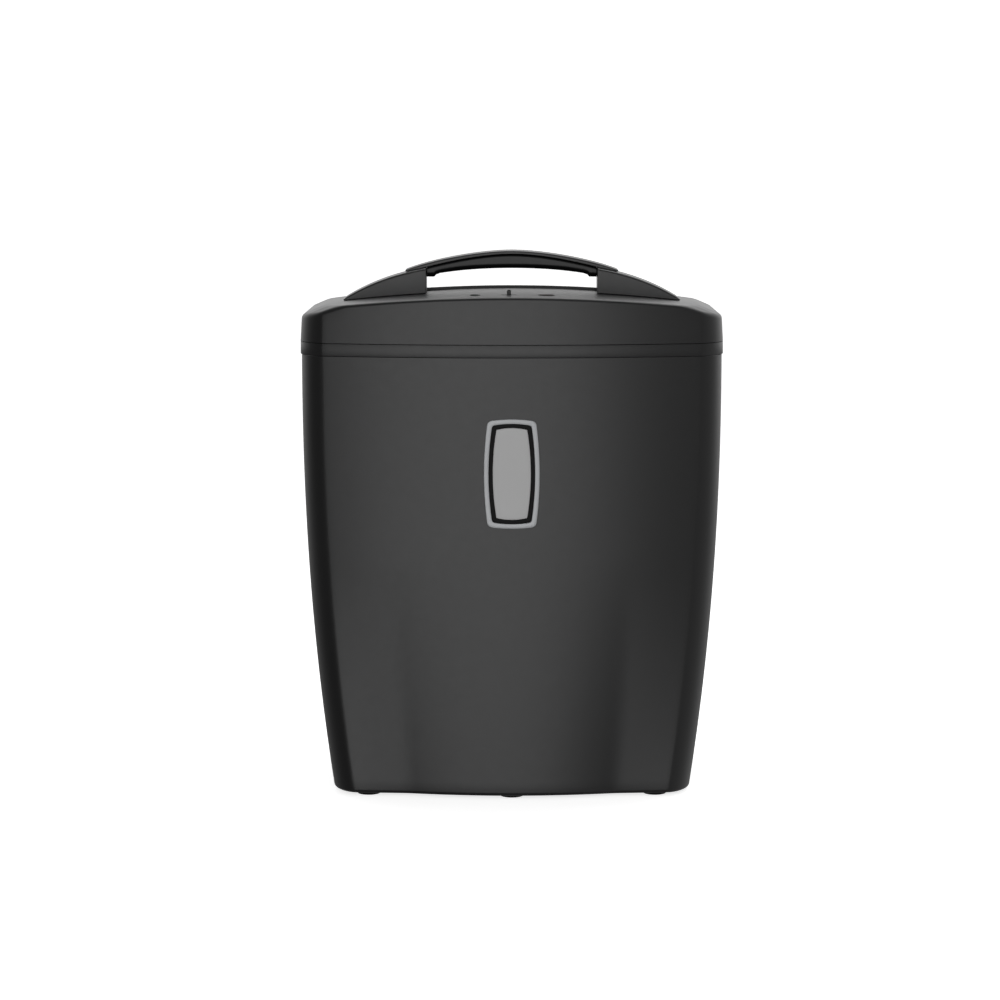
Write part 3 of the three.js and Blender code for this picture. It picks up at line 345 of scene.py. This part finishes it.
def noise(tree, scale, detail=4, roughness=0.55):
    """Noise in the piece's own coordinates, so it stays put when the piece moves."""
    coords = tree.nodes.new("ShaderNodeTexCoord")
    texture = tree.nodes.new("ShaderNodeTexNoise")
    texture.inputs["Scale"].default_value = scale
    texture.inputs["Detail"].default_value = detail
    texture.inputs["Roughness"].default_value = roughness
    tree.links.new(coords.outputs["Object"], texture.inputs["Vector"])
    return texture.outputs["Fac"]


def spread(tree, value, low, high):
    """A 0 to 1 value spread over a range."""
    ramp = tree.nodes.new("ShaderNodeMapRange")
    ramp.inputs["From Min"].default_value = NOISE_LOW
    ramp.inputs["From Max"].default_value = NOISE_HIGH
    ramp.inputs["To Min"].default_value = low
    ramp.inputs["To Max"].default_value = high
    tree.links.new(value, ramp.inputs["Value"])
    return ramp.outputs["Result"]


def tinted(tree, value, dark, light):
    mix = tree.nodes.new("ShaderNodeMix")
    mix.data_type = "RGBA"
    mix.inputs["A"].default_value = (*dark, 1)
    mix.inputs["B"].default_value = (*light, 1)
    tree.links.new(value, mix.inputs["Factor"])
    return mix.outputs["Result"]


def bumped(tree, shader, height, strength, distance):
    bump = tree.nodes.new("ShaderNodeBump")
    bump.inputs["Strength"].default_value = strength
    bump.inputs["Distance"].default_value = distance
    tree.links.new(height, bump.inputs["Height"])
    tree.links.new(bump.outputs["Normal"], shader.inputs["Normal"])


def moulded(
    name, color, rough, grain=1500, grain_strength=0.06, metallic=0.0, tint=0.1, coat=0.0, specular=0.5
):
    """Moulded plastic, rubber or paint: a fine grain, slow colour drift and uneven gloss."""
    material = bpy.data.materials.new(name)
    tree, shader = nodes_of(material)
    shader.inputs["Metallic"].default_value = metallic
    shader.inputs["Coat Weight"].default_value = coat
    shader.inputs["Coat Roughness"].default_value = COAT_ROUGHNESS
    shader.inputs["Specular IOR Level"].default_value = specular
    drift = noise(tree, DRIFT_SCALE, 3)
    dark = tuple(c * (1 - tint) for c in color)
    light = tuple(min(1, c * (1 + tint)) for c in color)
    tree.links.new(tinted(tree, drift, dark, light), shader.inputs["Base Color"])
    mottle = noise(tree, MOTTLE_SCALE, 3)
    uneven = spread(tree, mottle, rough - GLOSS_SPREAD, rough + GLOSS_SPREAD)
    tree.links.new(uneven, shader.inputs["Roughness"])
    bumped(tree, shader, noise(tree, grain, 2), grain_strength, GRAIN_DEPTH)
    return material


def brushed(name, color, rough, stretch=(3, 900, 900)):
    """Ground or drawn metal: fine scratches along one direction and uneven polish."""
    material = bpy.data.materials.new(name)
    tree, shader = nodes_of(material)
    shader.inputs["Metallic"].default_value = 1.0
    coords = tree.nodes.new("ShaderNodeTexCoord")
    mapping = tree.nodes.new("ShaderNodeMapping")
    mapping.inputs["Scale"].default_value = stretch
    tree.links.new(coords.outputs["Object"], mapping.inputs["Vector"])
    scratch = tree.nodes.new("ShaderNodeTexNoise")
    scratch.inputs["Scale"].default_value = 1.0
    scratch.inputs["Detail"].default_value = 3
    tree.links.new(mapping.outputs["Vector"], scratch.inputs["Vector"])
    drift = noise(tree, METAL_DRIFT_SCALE, 3)
    dark = tuple(c * METAL_DARK for c in color)
    tree.links.new(tinted(tree, drift, dark, color), shader.inputs["Base Color"])
    uneven = spread(tree, scratch.outputs["Fac"], rough - METAL_SMOOTHER, rough + METAL_ROUGHER)
    tree.links.new(uneven, shader.inputs["Roughness"])
    bumped(tree, shader, scratch.outputs["Fac"], SCRATCH_STRENGTH, SCRATCH_DEPTH)
    return material


MATERIALS = {
    "body_plastic": moulded("charcoal_plastic", (0.0085, 0.0085, 0.0088), 0.38),
    "black_trim": moulded(
        "black_trim", (0.004, 0.004, 0.0042), 0.3, grain=2200, grain_strength=0.01, specular=0.3
    ),
    "silver_trim": moulded(
        "silver_paint", (0.42, 0.43, 0.44), 0.45, grain=3000, grain_strength=0.03, metallic=0.3, tint=0.04
    ),
    "frosted_pane": moulded(
        "frosted_pane", (0.54, 0.54, 0.54), 0.5, grain=2600, grain_strength=0.03, tint=0.04
    ),
    "rubber": moulded(
        "rubber", (0.004, 0.004, 0.004), 0.7, grain=900, grain_strength=0.15, specular=0.25
    ),
    "steel": brushed("ground_steel", (0.5, 0.51, 0.53), 0.34),
    "bush_brass": brushed("turned_brass", (0.6, 0.42, 0.17), 0.3),
    "gear_plastic": moulded("nylon", (0.66, 0.63, 0.53), 0.45, grain=700, tint=0.08),
    "motor_metal": brushed("drawn_can", (0.34, 0.35, 0.37), 0.4),
    "inner_plastic": moulded("inner_plastic", (0.013, 0.013, 0.014), 0.5, grain=900, grain_strength=0.2),
    "board": moulded(
        "solder_mask", (0.015, 0.11, 0.05), 0.32, grain=500, grain_strength=0.1, coat=0.3
    ),
    "green_lens": moulded(
        "green_lens", (0.003, 0.008, 0.005), 0.4, grain=400, grain_strength=0.02, specular=0.08
    ),
    "red_lens": moulded(
        "red_lens", (0.009, 0.003, 0.003), 0.4, grain=400, grain_strength=0.02, specular=0.08
    ),
}


# ------------------------------------------------------------------ camera
CAMERA_AT, CAMERA_PITCH = (0, -3.12, 0.61), 6.72  # metres, and degrees below level
CAMERA_LENS, CAMERA_SENSOR, CAMERA_SHIFT = 129.24, 36, -0.0118
CAMERA_REACH = 50


def make_camera():
    data = bpy.data.cameras.new("camera")
    data.lens = CAMERA_LENS
    data.sensor_width = CAMERA_SENSOR
    data.shift_x = CAMERA_SHIFT
    data.clip_end = CAMERA_REACH
    camera = bpy.data.objects.new("camera", data)
    camera.location = CAMERA_AT
    camera.rotation_euler = (math.radians(90 - CAMERA_PITCH), 0, 0)
    bpy.context.scene.collection.objects.link(camera)
    bpy.context.scene.camera = camera


# ------------------------------------------------------------------ bin
INTERLOCK_TAB_LOW = Vector((-177, 20, 364)) * MM
INTERLOCK_TAB_HIGH = Vector((-172.2, 32, 376)) * MM
WINDOW_HOLE_INSET = 2.5 * MM


def make_bin():
    edge = 3.2 * MM
    lip = 0.25 * MM
    edge_steps, wall_steps, inner_steps = 5, 44, 14
    quarter = [math.pi / 2 * i / edge_steps for i in range(edge_steps + 1)]
    walls = [lerp(BIN_BOTTOM + edge, BIN_RIM - lip, i / wall_steps) for i in range(wall_steps + 1)]
    floor = BIN_BOTTOM + 3 * MM
    rings = [shrunk(bin_ring(BIN_BOTTOM, edge), share, BIN_BOTTOM) for share in (0.05, 0.6)]
    for turn in quarter:
        z = BIN_BOTTOM + edge * (1 - math.cos(turn))
        rings.append(bin_ring(z, edge * (1 - math.sin(turn))))
    rings += [bin_ring(z, 0) for z in walls[1:]]
    rings += [bin_ring(BIN_RIM, lip), bin_ring(BIN_RIM, WALL - lip), bin_ring(BIN_RIM - lip, WALL)]
    inner = [lerp(floor + edge, BIN_RIM - lip, i / inner_steps) for i in range(inner_steps)]
    rings += [bin_ring(z, WALL) for z in reversed(inner)]
    rings += [bin_ring(floor, WALL + edge * 0.3, floor + edge * 0.3), bin_ring(floor, WALL + edge)]
    rings += [shrunk(bin_ring(floor, WALL + edge), share, floor) for share in (0.6, 0.05)]
    shell = skin("bin_body", rings)
    cut(shell, window_plug("window_cut", WINDOW_HOLE_INSET, FRONT - 10 * MM, FRONT + 12 * MM))
    place(shell, "bin", "body_plastic", "bin_shell")
    tab = bevel(block("interlock_tab", INTERLOCK_TAB_LOW, INTERLOCK_TAB_HIGH), 0.6 * MM)
    place(tab, "bin", "body_plastic")


# ------------------------------------------------------------------ viewing window
WINDOW_LOW, WINDOW_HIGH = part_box("window_bezel")
WINDOW_Z = (WINDOW_LOW.z + WINDOW_HIGH.z) / 2
WINDOW_HALF_HEIGHT = (WINDOW_HIGH.z - WINDOW_LOW.z) / 2
WINDOW_HALF = WINDOW_HIGH.x
WINDOW_HALF_END = WINDOW_HALF - 3.1 * MM
WINDOW_BOW = 1.6 * MM


def window_ring(inset, y, corner=4 * MM):
    """The window's barrel outline with rounded corners, shrunk by an inset, at a depth."""
    mid, end = WINDOW_HALF - inset, WINDOW_HALF_END - inset
    top = WINDOW_HALF_HEIGHT - WINDOW_BOW - inset
    crown = top + 2 * WINDOW_BOW
    side = 2 * mid - end
    corners = [Vector((end, -top)), Vector((end, top)), Vector((-end, top)), Vector((-end, -top))]
    bulges = [Vector((side, 0)), Vector((0, crown)), Vector((-side, 0)), Vector((0, -crown))]
    least_radius = 0.6 * MM
    side_steps, corner_steps = 12, 5
    radius = max(least_radius, corner - inset / 2)
    ring = []
    for i in range(4):
        start, bulge, end_point = corners[i], bulges[i], corners[(i + 1) % 4]
        length = (end_point - start).length
        cut_share = radius / length
        shares = [lerp(cut_share, 1 - cut_share, k / side_steps) for k in range(side_steps + 1)]
        curve = [bezier([start, bulge, end_point], share) for share in shares]
        ring += curve
        following = [end_point, bulges[(i + 1) % 4], corners[(i + 2) % 4]]
        next_share = radius / (following[2] - following[0]).length
        onward = bezier(following, next_share)
        ring += [bezier([curve[-1], end_point, onward], k / corner_steps) for k in range(1, corner_steps)]
    return [Vector((p.x, y, WINDOW_Z + p.y)) for p in ring]


def window_plug(name, inset, front, back):
    return skin(name, [window_ring(inset, back), window_ring(inset, front)])


def make_window():
    front = WINDOW_LOW.y
    back = FRONT + 4 * MM
    width = 3.9 * MM
    edge = 0.35 * MM
    neck = 2.8 * MM
    flange_back = FRONT - 0.3 * MM
    profile = [
        (neck, back),
        (neck, flange_back),
        (0, flange_back),
        (0, front + edge),
        (0.3 * edge, front + 0.3 * edge),
        (edge, front),
        (width - edge, front),
        (width - 0.3 * edge, front + 0.3 * edge),
        (width, front + edge),
        (width, back),
    ]
    bezel = skin("bezel", [window_ring(inset, y) for inset, y in profile], looped=True, smooth_angle=50)
    place(bezel, "bin", "silver_trim", "window_bezel")

    seal_in, seal_out = 4.05 * MM, 7.2 * MM
    seal_front = front + 0.5 * MM
    seal = [
        (seal_in, back),
        (seal_in, seal_front + 0.2 * MM),
        (seal_in + 0.2 * MM, seal_front),
        (seal_out - 0.2 * MM, seal_front),
        (seal_out, seal_front + 0.2 * MM),
        (seal_out, back),
    ]
    gasket = skin("gasket", [window_ring(inset, y) for inset, y in seal], looped=True, smooth_angle=50)
    place(gasket, "bin", "rubber", "window_gasket")

    pane_edge = 7.35 * MM
    pane_front = front + 0.9 * MM
    pane = [
        (pane_edge, FRONT + 2.4 * MM),
        (pane_edge, pane_front + 0.5 * MM),
        (pane_edge + 0.15 * MM, pane_front + 0.15 * MM),
        (pane_edge + 0.5 * MM, pane_front),
        (pane_edge + 3 * MM, pane_front),
    ]
    sheet = skin("pane", [window_ring(inset, y) for inset, y in pane], smooth_angle=50)
    place(sheet, "bin", "frosted_pane", "window_pane")


# ------------------------------------------------------------------ round pieces
def disc_ring(centre, radius, z, steps=40, stretch=1.0):
    turns = [2 * math.pi * i / steps for i in range(steps)]
    return [
        Vector((centre.x + radius * stretch * math.cos(t), centre.y + radius * math.sin(t), z)) for t in turns
    ]


def make_foot(node):
    low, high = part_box(node)
    centre = (low + high) / 2
    radius = (high.x - low.x) / 2
    profile = [
        (0.3 * radius, low.z),
        (radius - 1.3 * MM, low.z),
        (radius - 0.6 * MM, low.z + 0.2 * MM),
        (radius - 0.1 * MM, low.z + 0.8 * MM),
        (radius - 0.1 * MM, high.z),
        (0.3 * radius, high.z),
    ]
    rings = [disc_ring(centre, r, z) for r, z in profile]
    place(skin(node + "_pad", rings, smooth_angle=50), "bin", "rubber", node)


def make_lens(node, slot):
    low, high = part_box(node)
    centre = (low + high) / 2
    half_x, half_y = (high.x - low.x) / 2, (high.y - low.y) / 2
    profile = [
        (0.98, low.z),
        (0.98, high.z - 0.9 * MM),
        (0.9, high.z - 0.35 * MM),
        (0.7, high.z - 0.1 * MM),
        (0.3, high.z),
    ]
    rings = [disc_ring(centre, half_y * share, z, stretch=half_x / half_y) for share, z in profile]
    place(skin(node + "_dome", rings, smooth_angle=50), "head", slot, node)


def wall_circle(centre, radius, y, steps=40):
    """A circle that stands upright, facing the rear."""
    turns = [2 * math.pi * i / steps for i in range(steps)]
    return [Vector((centre.x + radius * math.cos(t), y, centre.z + radius * math.sin(t))) for t in turns]


GLAND_NECK, GLAND_HOLE = 6 * MM, 6.3 * MM  # radii of the gland's neck and of the hole it sits in


def make_gland():
    low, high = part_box("cord_gland")
    centre = (low + high) / 2
    outer = (high.x - low.x) / 2
    bore = 3.6 * MM
    wall_y = REAR - 0.2 * MM
    profile = [
        (bore + 0.4 * MM, low.y),
        (GLAND_NECK, low.y),
        (GLAND_NECK, wall_y),
        (outer - 0.1 * MM, wall_y),
        (outer - 0.1 * MM, wall_y + 1 * MM),
        (outer - 0.9 * MM, high.y - 0.2 * MM),
        (outer - 1.8 * MM, high.y),
        (bore + 0.6 * MM, high.y),
        (bore, high.y - 0.6 * MM),
        (bore, low.y + 0.4 * MM),
    ]
    rings = [wall_circle(centre, radius, y) for radius, y in profile]
    place(skin("gland_ring", rings, looped=True, smooth_angle=40), "head", "rubber", "cord_gland")


# ------------------------------------------------------------------ head
TRAY_INSET, TRAY_CORNER, TRAY_BOTTOM = 8.5 * MM, 21 * MM, BASE_LOW.z
DISCHARGE_HALF, COMB_LAP = 110 * MM, 3 * MM  # the combs reach past the opening's edges by the lap
CUT_THROUGH = 0.01  # a cutting block runs past what it cuts by this much


def tray_ring(margin, z):
    """The tray's outline, with as many points as the body's."""
    half_x = HEAD_HALF - TRAY_INSET - margin
    front = FRONT + TRAY_INSET + margin
    rear = REAR - TRAY_INSET - margin
    corner_x = half_x - TRAY_CORNER

    def bow(x):
        return front + x * x / (2 * FRONT_RADIUS)

    points = []
    for i in range(FRONT_STEPS):
        x = corner_x * i / FRONT_STEPS
        points.append(Vector((x, bow(x))))
    first = [
        Vector((corner_x, bow(corner_x))),
        Vector((half_x, bow(corner_x))),
        Vector((half_x, bow(corner_x) + TRAY_CORNER)),
    ]
    second = [Vector((half_x, rear - TRAY_CORNER)), Vector((half_x, rear)), Vector((corner_x, rear))]
    points += [bezier(first, i / CORNER_STEPS) for i in range(CORNER_STEPS + 1)]
    points += [bezier(second, i / REAR_STEPS) for i in range(REAR_STEPS + 1)]
    return ring_from(points, 0, z)


def make_base():
    floor = 2.6 * MM
    soft = 0.2 * MM
    rings = [shrunk(tray_ring(2 * MM, TRAY_BOTTOM), share, TRAY_BOTTOM) for share in (0.05, 0.97)]
    rings += [tray_ring(2 * MM, TRAY_BOTTOM + soft), tray_ring(0, FLANGE_BOTTOM)]
    rings += [head_ring(2 * soft, FLANGE_BOTTOM), head_ring(0.3 * soft, FLANGE_BOTTOM + 0.3 * soft)]
    rings += [head_ring(0, FLANGE_BOTTOM + soft), head_ring(0, SEAM - soft)]
    rings += [head_ring(0.3 * soft, SEAM - 0.3 * soft), head_ring(soft, SEAM)]
    rings += [tray_ring(floor, SEAM), tray_ring(floor + 2 * MM, TRAY_BOTTOM + floor)]
    rings += [shrunk(tray_ring(floor + 2 * MM, TRAY_BOTTOM + floor), 0.05, TRAY_BOTTOM + floor)]
    base = skin("rim_and_tray", rings)
    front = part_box("front_comb")[0].y + COMB_LAP
    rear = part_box("rear_comb")[1].y - COMB_LAP
    opening = block(
        "discharge_cut",
        (-DISCHARGE_HALF, front, TRAY_BOTTOM - CUT_THROUGH),
        (DISCHARGE_HALF, rear, TRAY_BOTTOM + CUT_THROUGH),
    )
    cut(base, opening)
    place(base, "head", "body_plastic", "head_base")


def deck_height(x, y):
    """The deck and its shoulders, before the edge is rounded."""
    falling = deck_z(x, DECK_BREAK) - DECK_FALL * (y - DECK_BREAK)
    deck = smooth_min(deck_z(x, y), falling, DECK_SOFT)
    return smooth_min(deck, shoulder_height(x, y), SHOULDER_SOFT)


SHOULDER_PLAN = [
    (-135, 150),
    (-103, 164.2),
    (-94, 171.5),
    (-82, 177),
    (-66, 180),
    (30, 180),
    (65, 178),
    (90, 174),
    (106, 166.5),
    (135, 146),
]


def shoulder_height(x, y):
    """The sloping shoulder that rises inwards from the sides and follows the corners."""
    plan = [(py * MM, px * MM) for py, px in SHOULDER_PLAN]
    edge = plan[-1][1]
    for (y0, x0), (y1, x1) in zip(plan, plan[1:]):
        if y <= y1:
            edge = lerp(x0, x1, max(0.0, (y - y0) / (y1 - y0)))
            break
    return SHOULDER_BASE + SHOULDER_SLOPE * (edge - abs(x))


def make_cover():
    bottom = COVER_LOW.z
    wall = 2.5 * MM
    lip = 0.2 * MM
    round_edge = 3 * MM

    def drawn_in(z):
        return COVER_DRAFT * (z - bottom)

    def edge_height(x, y):
        return deck_height(x, y) - round_edge

    def ceiling(x, y):
        return deck_height(x, y) - wall

    def ceiling_edge(x, y):
        return deck_height(x, y) - 2 * wall

    rings = [shrunk(head_ring(0, 0), share, ceiling) for share in (0.05, 0.5, 0.9)]
    rings += [head_ring(wall + drawn_in(SHOULDER_BASE), ceiling_edge)]
    rings += [head_ring(wall, bottom + lip), head_ring(wall - lip, bottom), head_ring(lip, bottom)]
    rings += [head_ring(0, bottom + lip)]
    for share in (0.25, 0.5, 0.75, 1.0):

        def partway(x, y, share=share):
            return lerp(bottom + lip, edge_height(x, y), share)

        rings.append(head_ring(drawn_in(lerp(bottom, SHOULDER_BASE, share)), partway))
    full = drawn_in(SHOULDER_BASE)
    round_steps = 6
    for i in range(1, round_steps + 1):
        turn = math.pi / 2 * i / round_steps

        def rounding(x, y, turn=turn):
            return edge_height(x, y) + round_edge * math.sin(turn)

        rings.append(head_ring(full + round_edge * (1 - math.cos(turn)), rounding))
    top = head_ring(full + round_edge, 0)
    fine_step, fine_rings = 0.0055, 39
    shares = [1 - fine_step * i for i in range(1, fine_rings + 1)]
    shares += [0.74, 0.66, 0.55, 0.4, 0.25, 0.1, 0.03]
    rings += [shrunk(top, share, deck_height) for share in shares]
    cover = skin("cover_shell", rings)

    throat_low, throat_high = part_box("feed_throat")
    gap = 0.3 * MM
    above = 0.02
    throat_corner = throat_high + Vector((gap, gap, above))
    cutters = [block("throat_cut", throat_low - Vector((gap, gap, 0)), throat_corner)]
    knob_low, knob_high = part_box("switch_knob")
    slack = Vector((4.6, 0.5, 0)) * MM
    cutters.append(block("knob_cut", knob_low - slack, knob_high + slack + Vector((0, 0, 0.01))))
    for node in ("standby_lamp_lens", "overheat_lamp_lens"):
        low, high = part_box(node)
        centre = (low + high) / 2
        half_y = (high.y - low.y) / 2 + LENS_GAP
        stretch = ((high.x - low.x) / 2 + LENS_GAP) / half_y
        heights = (low.z - CUT_THROUGH, high.z + above)
        cutters.append(skin(node + "_cut", [disc_ring(centre, half_y, z, stretch=stretch) for z in heights]))
    gland_low, gland_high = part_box("cord_gland")
    centre = (gland_low + gland_high) / 2
    hole = [wall_circle(centre, GLAND_HOLE, y, steps=32) for y in (gland_low.y, REAR + 0.02)]
    cutters.append(skin("gland_cut", hole))
    cut(cover, *cutters)
    place(cover, "head", "body_plastic", "head_top_cover")


# ------------------------------------------------------------------ handle
POD_CURVE = [Vector((73.3, 447.3)), Vector((114.3, 440.4)), Vector((145.3, 420.5))]
POD_STEPS, POD_REACH = 24, 0.985  # the pod stops just short of the curve's end


def pod_top(t):
    """The pod's top line from its inner end outwards, as X and Z."""
    return bezier(POD_CURVE, t) * MM


def make_pod(side, node):
    low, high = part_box(node)
    stations = []
    for i in range(POD_STEPS + 1):
        p = pod_top(i / POD_STEPS * POD_REACH)
        stations.append((side * p.x, deck_z(p.x, low.y) + 0.2 * MM, p.y))
    if side < 0:
        stations.reverse()
    pod = beam(node + "_shell", stations, low.y, high.y, 2.2 * MM, 0.5 * MM, 0.7 * MM)
    place(pod, "head", "body_plastic", node)


def handle_curve(controls, x):
    """The height of one half of a handle outline at a distance from the middle."""
    halvings = 24
    low, high = 0.0, 1.0
    points = [Vector(c) * MM for c in controls]
    for _ in range(halvings):
        middle = (low + high) / 2
        if bezier(points, middle).x < x:
            low = middle
        else:
            high = middle
    return bezier(points, low).y


GRIP_TOP = [(0, 462), (30, 462), (72, 453.5), (91.6, 445.4)]
PARTING = [(0, 459.3), (28, 459.3), (60, 451.6), (75, 447.7)]
UNDERSIDE = [(0, 447), (25, 447), (45, 445.3), (61.5, 442.7)]
BAR_COLLAR = [(64.9, 441.5), (65.7, 440.6), (66.6, 439.6)]  # where the underside steps down to the pod
GRIP_NOSE = [(79, 446.9), (83, 446.05), (87, 445.2), (90, 444.6), (91.4, 444.4)]
PARTING_GAP = 0.3 * MM
BAR_ARCH_END, BAR_COLLAR_END, GRIP_ARCH_END = 61.5 * MM, 70.5 * MM, 75 * MM


def mirrored_stations(half):
    return [(-x, low, high) for x, low, high in reversed(half[1:])] + half


def make_handle():
    bar_low, bar_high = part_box("handle_lower_bar")
    end = bar_high.x
    collar = bar_low.z
    half = []
    bar_steps, grip_steps = 24, 30

    def bar_top(x):
        return handle_curve(PARTING, x) - PARTING_GAP

    for i in range(bar_steps + 1):
        x = BAR_ARCH_END * i / bar_steps
        half.append((x, handle_curve(UNDERSIDE, x), bar_top(x)))
    for x, low in BAR_COLLAR:
        half.append((x * MM, low * MM, bar_top(x * MM)))
    half.append((BAR_COLLAR_END, collar, bar_top(BAR_COLLAR_END)))
    half.append((end, collar, bar_top(end)))
    bar = beam("handle_bar", mirrored_stations(half), bar_low.y, bar_high.y, 2.4 * MM, 4.5 * MM, 0.4 * MM)
    place(bar, "head", "black_trim", "handle_lower_bar")

    grip_low, grip_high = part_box("handle_upper_grip")
    half = []
    for i in range(grip_steps + 1):
        x = GRIP_ARCH_END * i / grip_steps
        half.append((x, handle_curve(PARTING, x), handle_curve(GRIP_TOP, x)))
    for x, low in GRIP_NOSE:
        half.append((x * MM, low * MM, handle_curve(GRIP_TOP, x * MM)))
    stations = mirrored_stations(half)
    grip = beam("handle_grip", stations, grip_low.y, grip_high.y, 2.4 * MM, 0.4 * MM, 0.35 * MM)
    place(grip, "head", "body_plastic", "handle_upper_grip")


# ------------------------------------------------------------------ feed throat
LINER_RISE, LIP_RISE = 2 * MM, 4 * MM  # heights above the deck
LIP_SHORT = 4 * MM  # the lip stops short of the liner's ends by this much
LEVER_NOTCH_HALF, LEVER_NOTCH_TOP, NOTCH_LAP = 2.4 * MM, 409 * MM, 0.001
LEAD_IN_START, LEAD_IN_DROP, LEAD_IN_TOP = 2.4 * MM, 6 * MM, 4 * MM


def make_throat():
    """The liner round the feed slot and the raised lip in front of the slot."""
    low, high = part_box("feed_throat")
    slot_front, slot_back, slot_half = -1 * MM, 5 * MM, 113 * MM
    steps = 40
    half_length = high.x

    def arch_stations(reach, base, rise):
        xs = [lerp(-reach, reach, i / steps) for i in range(steps + 1)]
        return [(x, base, deck_z(x) + rise) for x in xs]

    def cutters(tag):
        """The slot, the notch for the sensor's lever, and the lead-in that slopes down to the slot."""
        floor, ceiling = low.z - CUT_THROUGH, high.z + CUT_THROUGH
        slot = block(tag + "_slot", (-slot_half, slot_front, floor), (slot_half, slot_back, ceiling))
        notch_low = (-LEVER_NOTCH_HALF, low.y - NOTCH_LAP, floor)
        notch_high = (LEVER_NOTCH_HALF, slot_front + NOTCH_LAP, LEVER_NOTCH_TOP)
        notch = block(tag + "_notch", notch_low, notch_high)
        bottom = deck_z(slot_half) - LEAD_IN_DROP
        top = DECK_TOP + LEAD_IN_TOP
        corners = [
            (slot_back, bottom),
            (slot_back, top + CUT_THROUGH),
            (low.y + LEAD_IN_START, top + CUT_THROUGH),
            (low.y + LEAD_IN_START, top),
            (slot_front - 0.1 * MM, bottom),
        ]
        ends = [[Vector((x, y, z)) for y, z in corners] for x in (-slot_half, slot_half)]
        return slot, notch, skin(tag + "_lead_in", ends)

    liner_stations = arch_stations(half_length, low.z, LINER_RISE)
    liner = beam("throat_liner", liner_stations, low.y, high.y, 0.5 * MM, 0.3 * MM, 0.3 * MM)
    cut(liner, *cutters("liner"))
    place(liner, "head", "black_trim", "feed_throat")
    lip_stations = arch_stations(half_length - LIP_SHORT, deck_z(half_length), LIP_RISE)
    lip = beam("throat_lip", lip_stations, low.y, slot_front, 0.5 * MM, 0.3 * MM, 0.5 * MM)
    cut(lip, *cutters("lip"))
    place(lip, "head", "black_trim")


# ------------------------------------------------------------------ carried-over CAD nodes
OTHER_ROUND = 0.25  # millimetres, for slots the table leaves out
FINE_ROUND = {
    "body_plastic": 0.5,
    "black_trim": 0.35,
    "inner_plastic": 0.5,
    "gear_plastic": 0.2,
    "board": 0.2,
}


def dress_cad_nodes():
    """Gives each CAD node that still shows its slot's material and softened edges."""
    slots = {row["node"]: row["material_slot"] for row in frame["record"]["subparts"]}
    shown = {piece.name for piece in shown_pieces()}
    for name, obj in frame["nodes"].items():
        if obj.name not in shown:
            continue
        slot = slots[name]
        obj.data.materials.clear()
        obj.data.materials.append(MATERIALS[slot])
        bevel(obj, FINE_ROUND.get(slot, OTHER_ROUND) * MM, segments=2, angle=40)


# ------------------------------------------------------------------ studio
def area_light(name, location, target, size, power, shape_y=None):
    data = bpy.data.lights.new(name, "AREA")
    data.shape = "RECTANGLE"
    data.size = size
    data.size_y = shape_y or size
    data.energy = power
    light = bpy.data.objects.new(name, data)
    light.location = location
    light.rotation_euler = (Vector(target) - Vector(location)).to_track_quat("-Z", "Y").to_euler()
    bpy.context.scene.collection.objects.link(light)
    return light


def make_studio():
    world = bpy.data.worlds.new("studio")
    bpy.context.scene.world = world
    world.use_nodes = True
    tree = world.node_tree
    background = tree.nodes["Background"]
    coords = tree.nodes.new("ShaderNodeTexCoord")
    split = tree.nodes.new("ShaderNodeSeparateXYZ")
    tree.links.new(coords.outputs["Generated"], split.inputs["Vector"])

    def band(source, low, high, to_low, to_high):
        step = tree.nodes.new("ShaderNodeMapRange")
        step.interpolation_type = "SMOOTHSTEP"
        for key, value in (("From Min", low), ("From Max", high), ("To Min", to_low), ("To Max", to_high)):
            step.inputs[key].default_value = value
        tree.links.new(source, step.inputs["Value"])
        return step.outputs["Result"]

    def product(a, b):
        times = tree.nodes.new("ShaderNodeMath")
        times.operation = "MULTIPLY"
        tree.links.new(a, times.inputs[0])
        tree.links.new(b, times.inputs[1])
        return times.outputs["Value"]

    behind = band(split.outputs["Y"], 0.2, 0.85, 0.0, 1.0)
    above = band(split.outputs["Z"], -0.16, 0.0, 0.1, 1.0)
    right = band(split.outputs["X"], 0.0, 0.8, 0.14, 0.4)
    total = tree.nodes.new("ShaderNodeMath")
    total.operation = "ADD"
    tree.links.new(product(behind, above), total.inputs[0])
    tree.links.new(right, total.inputs[1])
    tree.links.new(total.outputs["Value"], background.inputs["Strength"])
    background.inputs["Color"].default_value = (1, 1, 1, 1)

    key = area_light("front_softbox", (-0.38, -2.9, 0.35), (0, 0, 0.25), 2.7, 45, 2.6)
    key.visible_camera = False
    top = area_light("top_softbox", (0.2, 0.6, 2.3), (0, 0, 0.4), 1.6, 18)
    top.visible_camera = False

    plan = ((-9, -9), (9, -9), (9, 14), (-9, 14))
    floor = skin("floor", [[Vector((x, y, z)) for x, y in plan] for z in (-0.01, 0)])
    paper = bpy.data.materials.new("floor_paper")
    tree, shader = nodes_of(paper)
    shader.inputs["Base Color"].default_value = (0.9, 0.9, 0.9, 1)
    shader.inputs["Roughness"].default_value = 0.9
    shader.inputs["Emission Color"].default_value = (1, 1, 1, 1)
    shader.inputs["Emission Strength"].default_value = 0.75
    floor.data.materials.append(paper)
    floor.visible_glossy = False
    floor.visible_diffuse = False
    bpy.context.scene.view_settings.view_transform = "Standard"


make_camera()
make_bin()
make_window()
for foot_node in sorted(name for name in frame["nodes"] if name.startswith("foot_")):
    make_foot(foot_node)
make_base()
make_cover()
make_pod(-1, "handle_pod_left")
make_pod(1, "handle_pod_right")
make_handle()
make_throat()
make_lens("standby_lamp_lens", "green_lens")
make_lens("overheat_lamp_lens", "red_lens")
make_gland()
dress_cad_nodes()
make_studio()
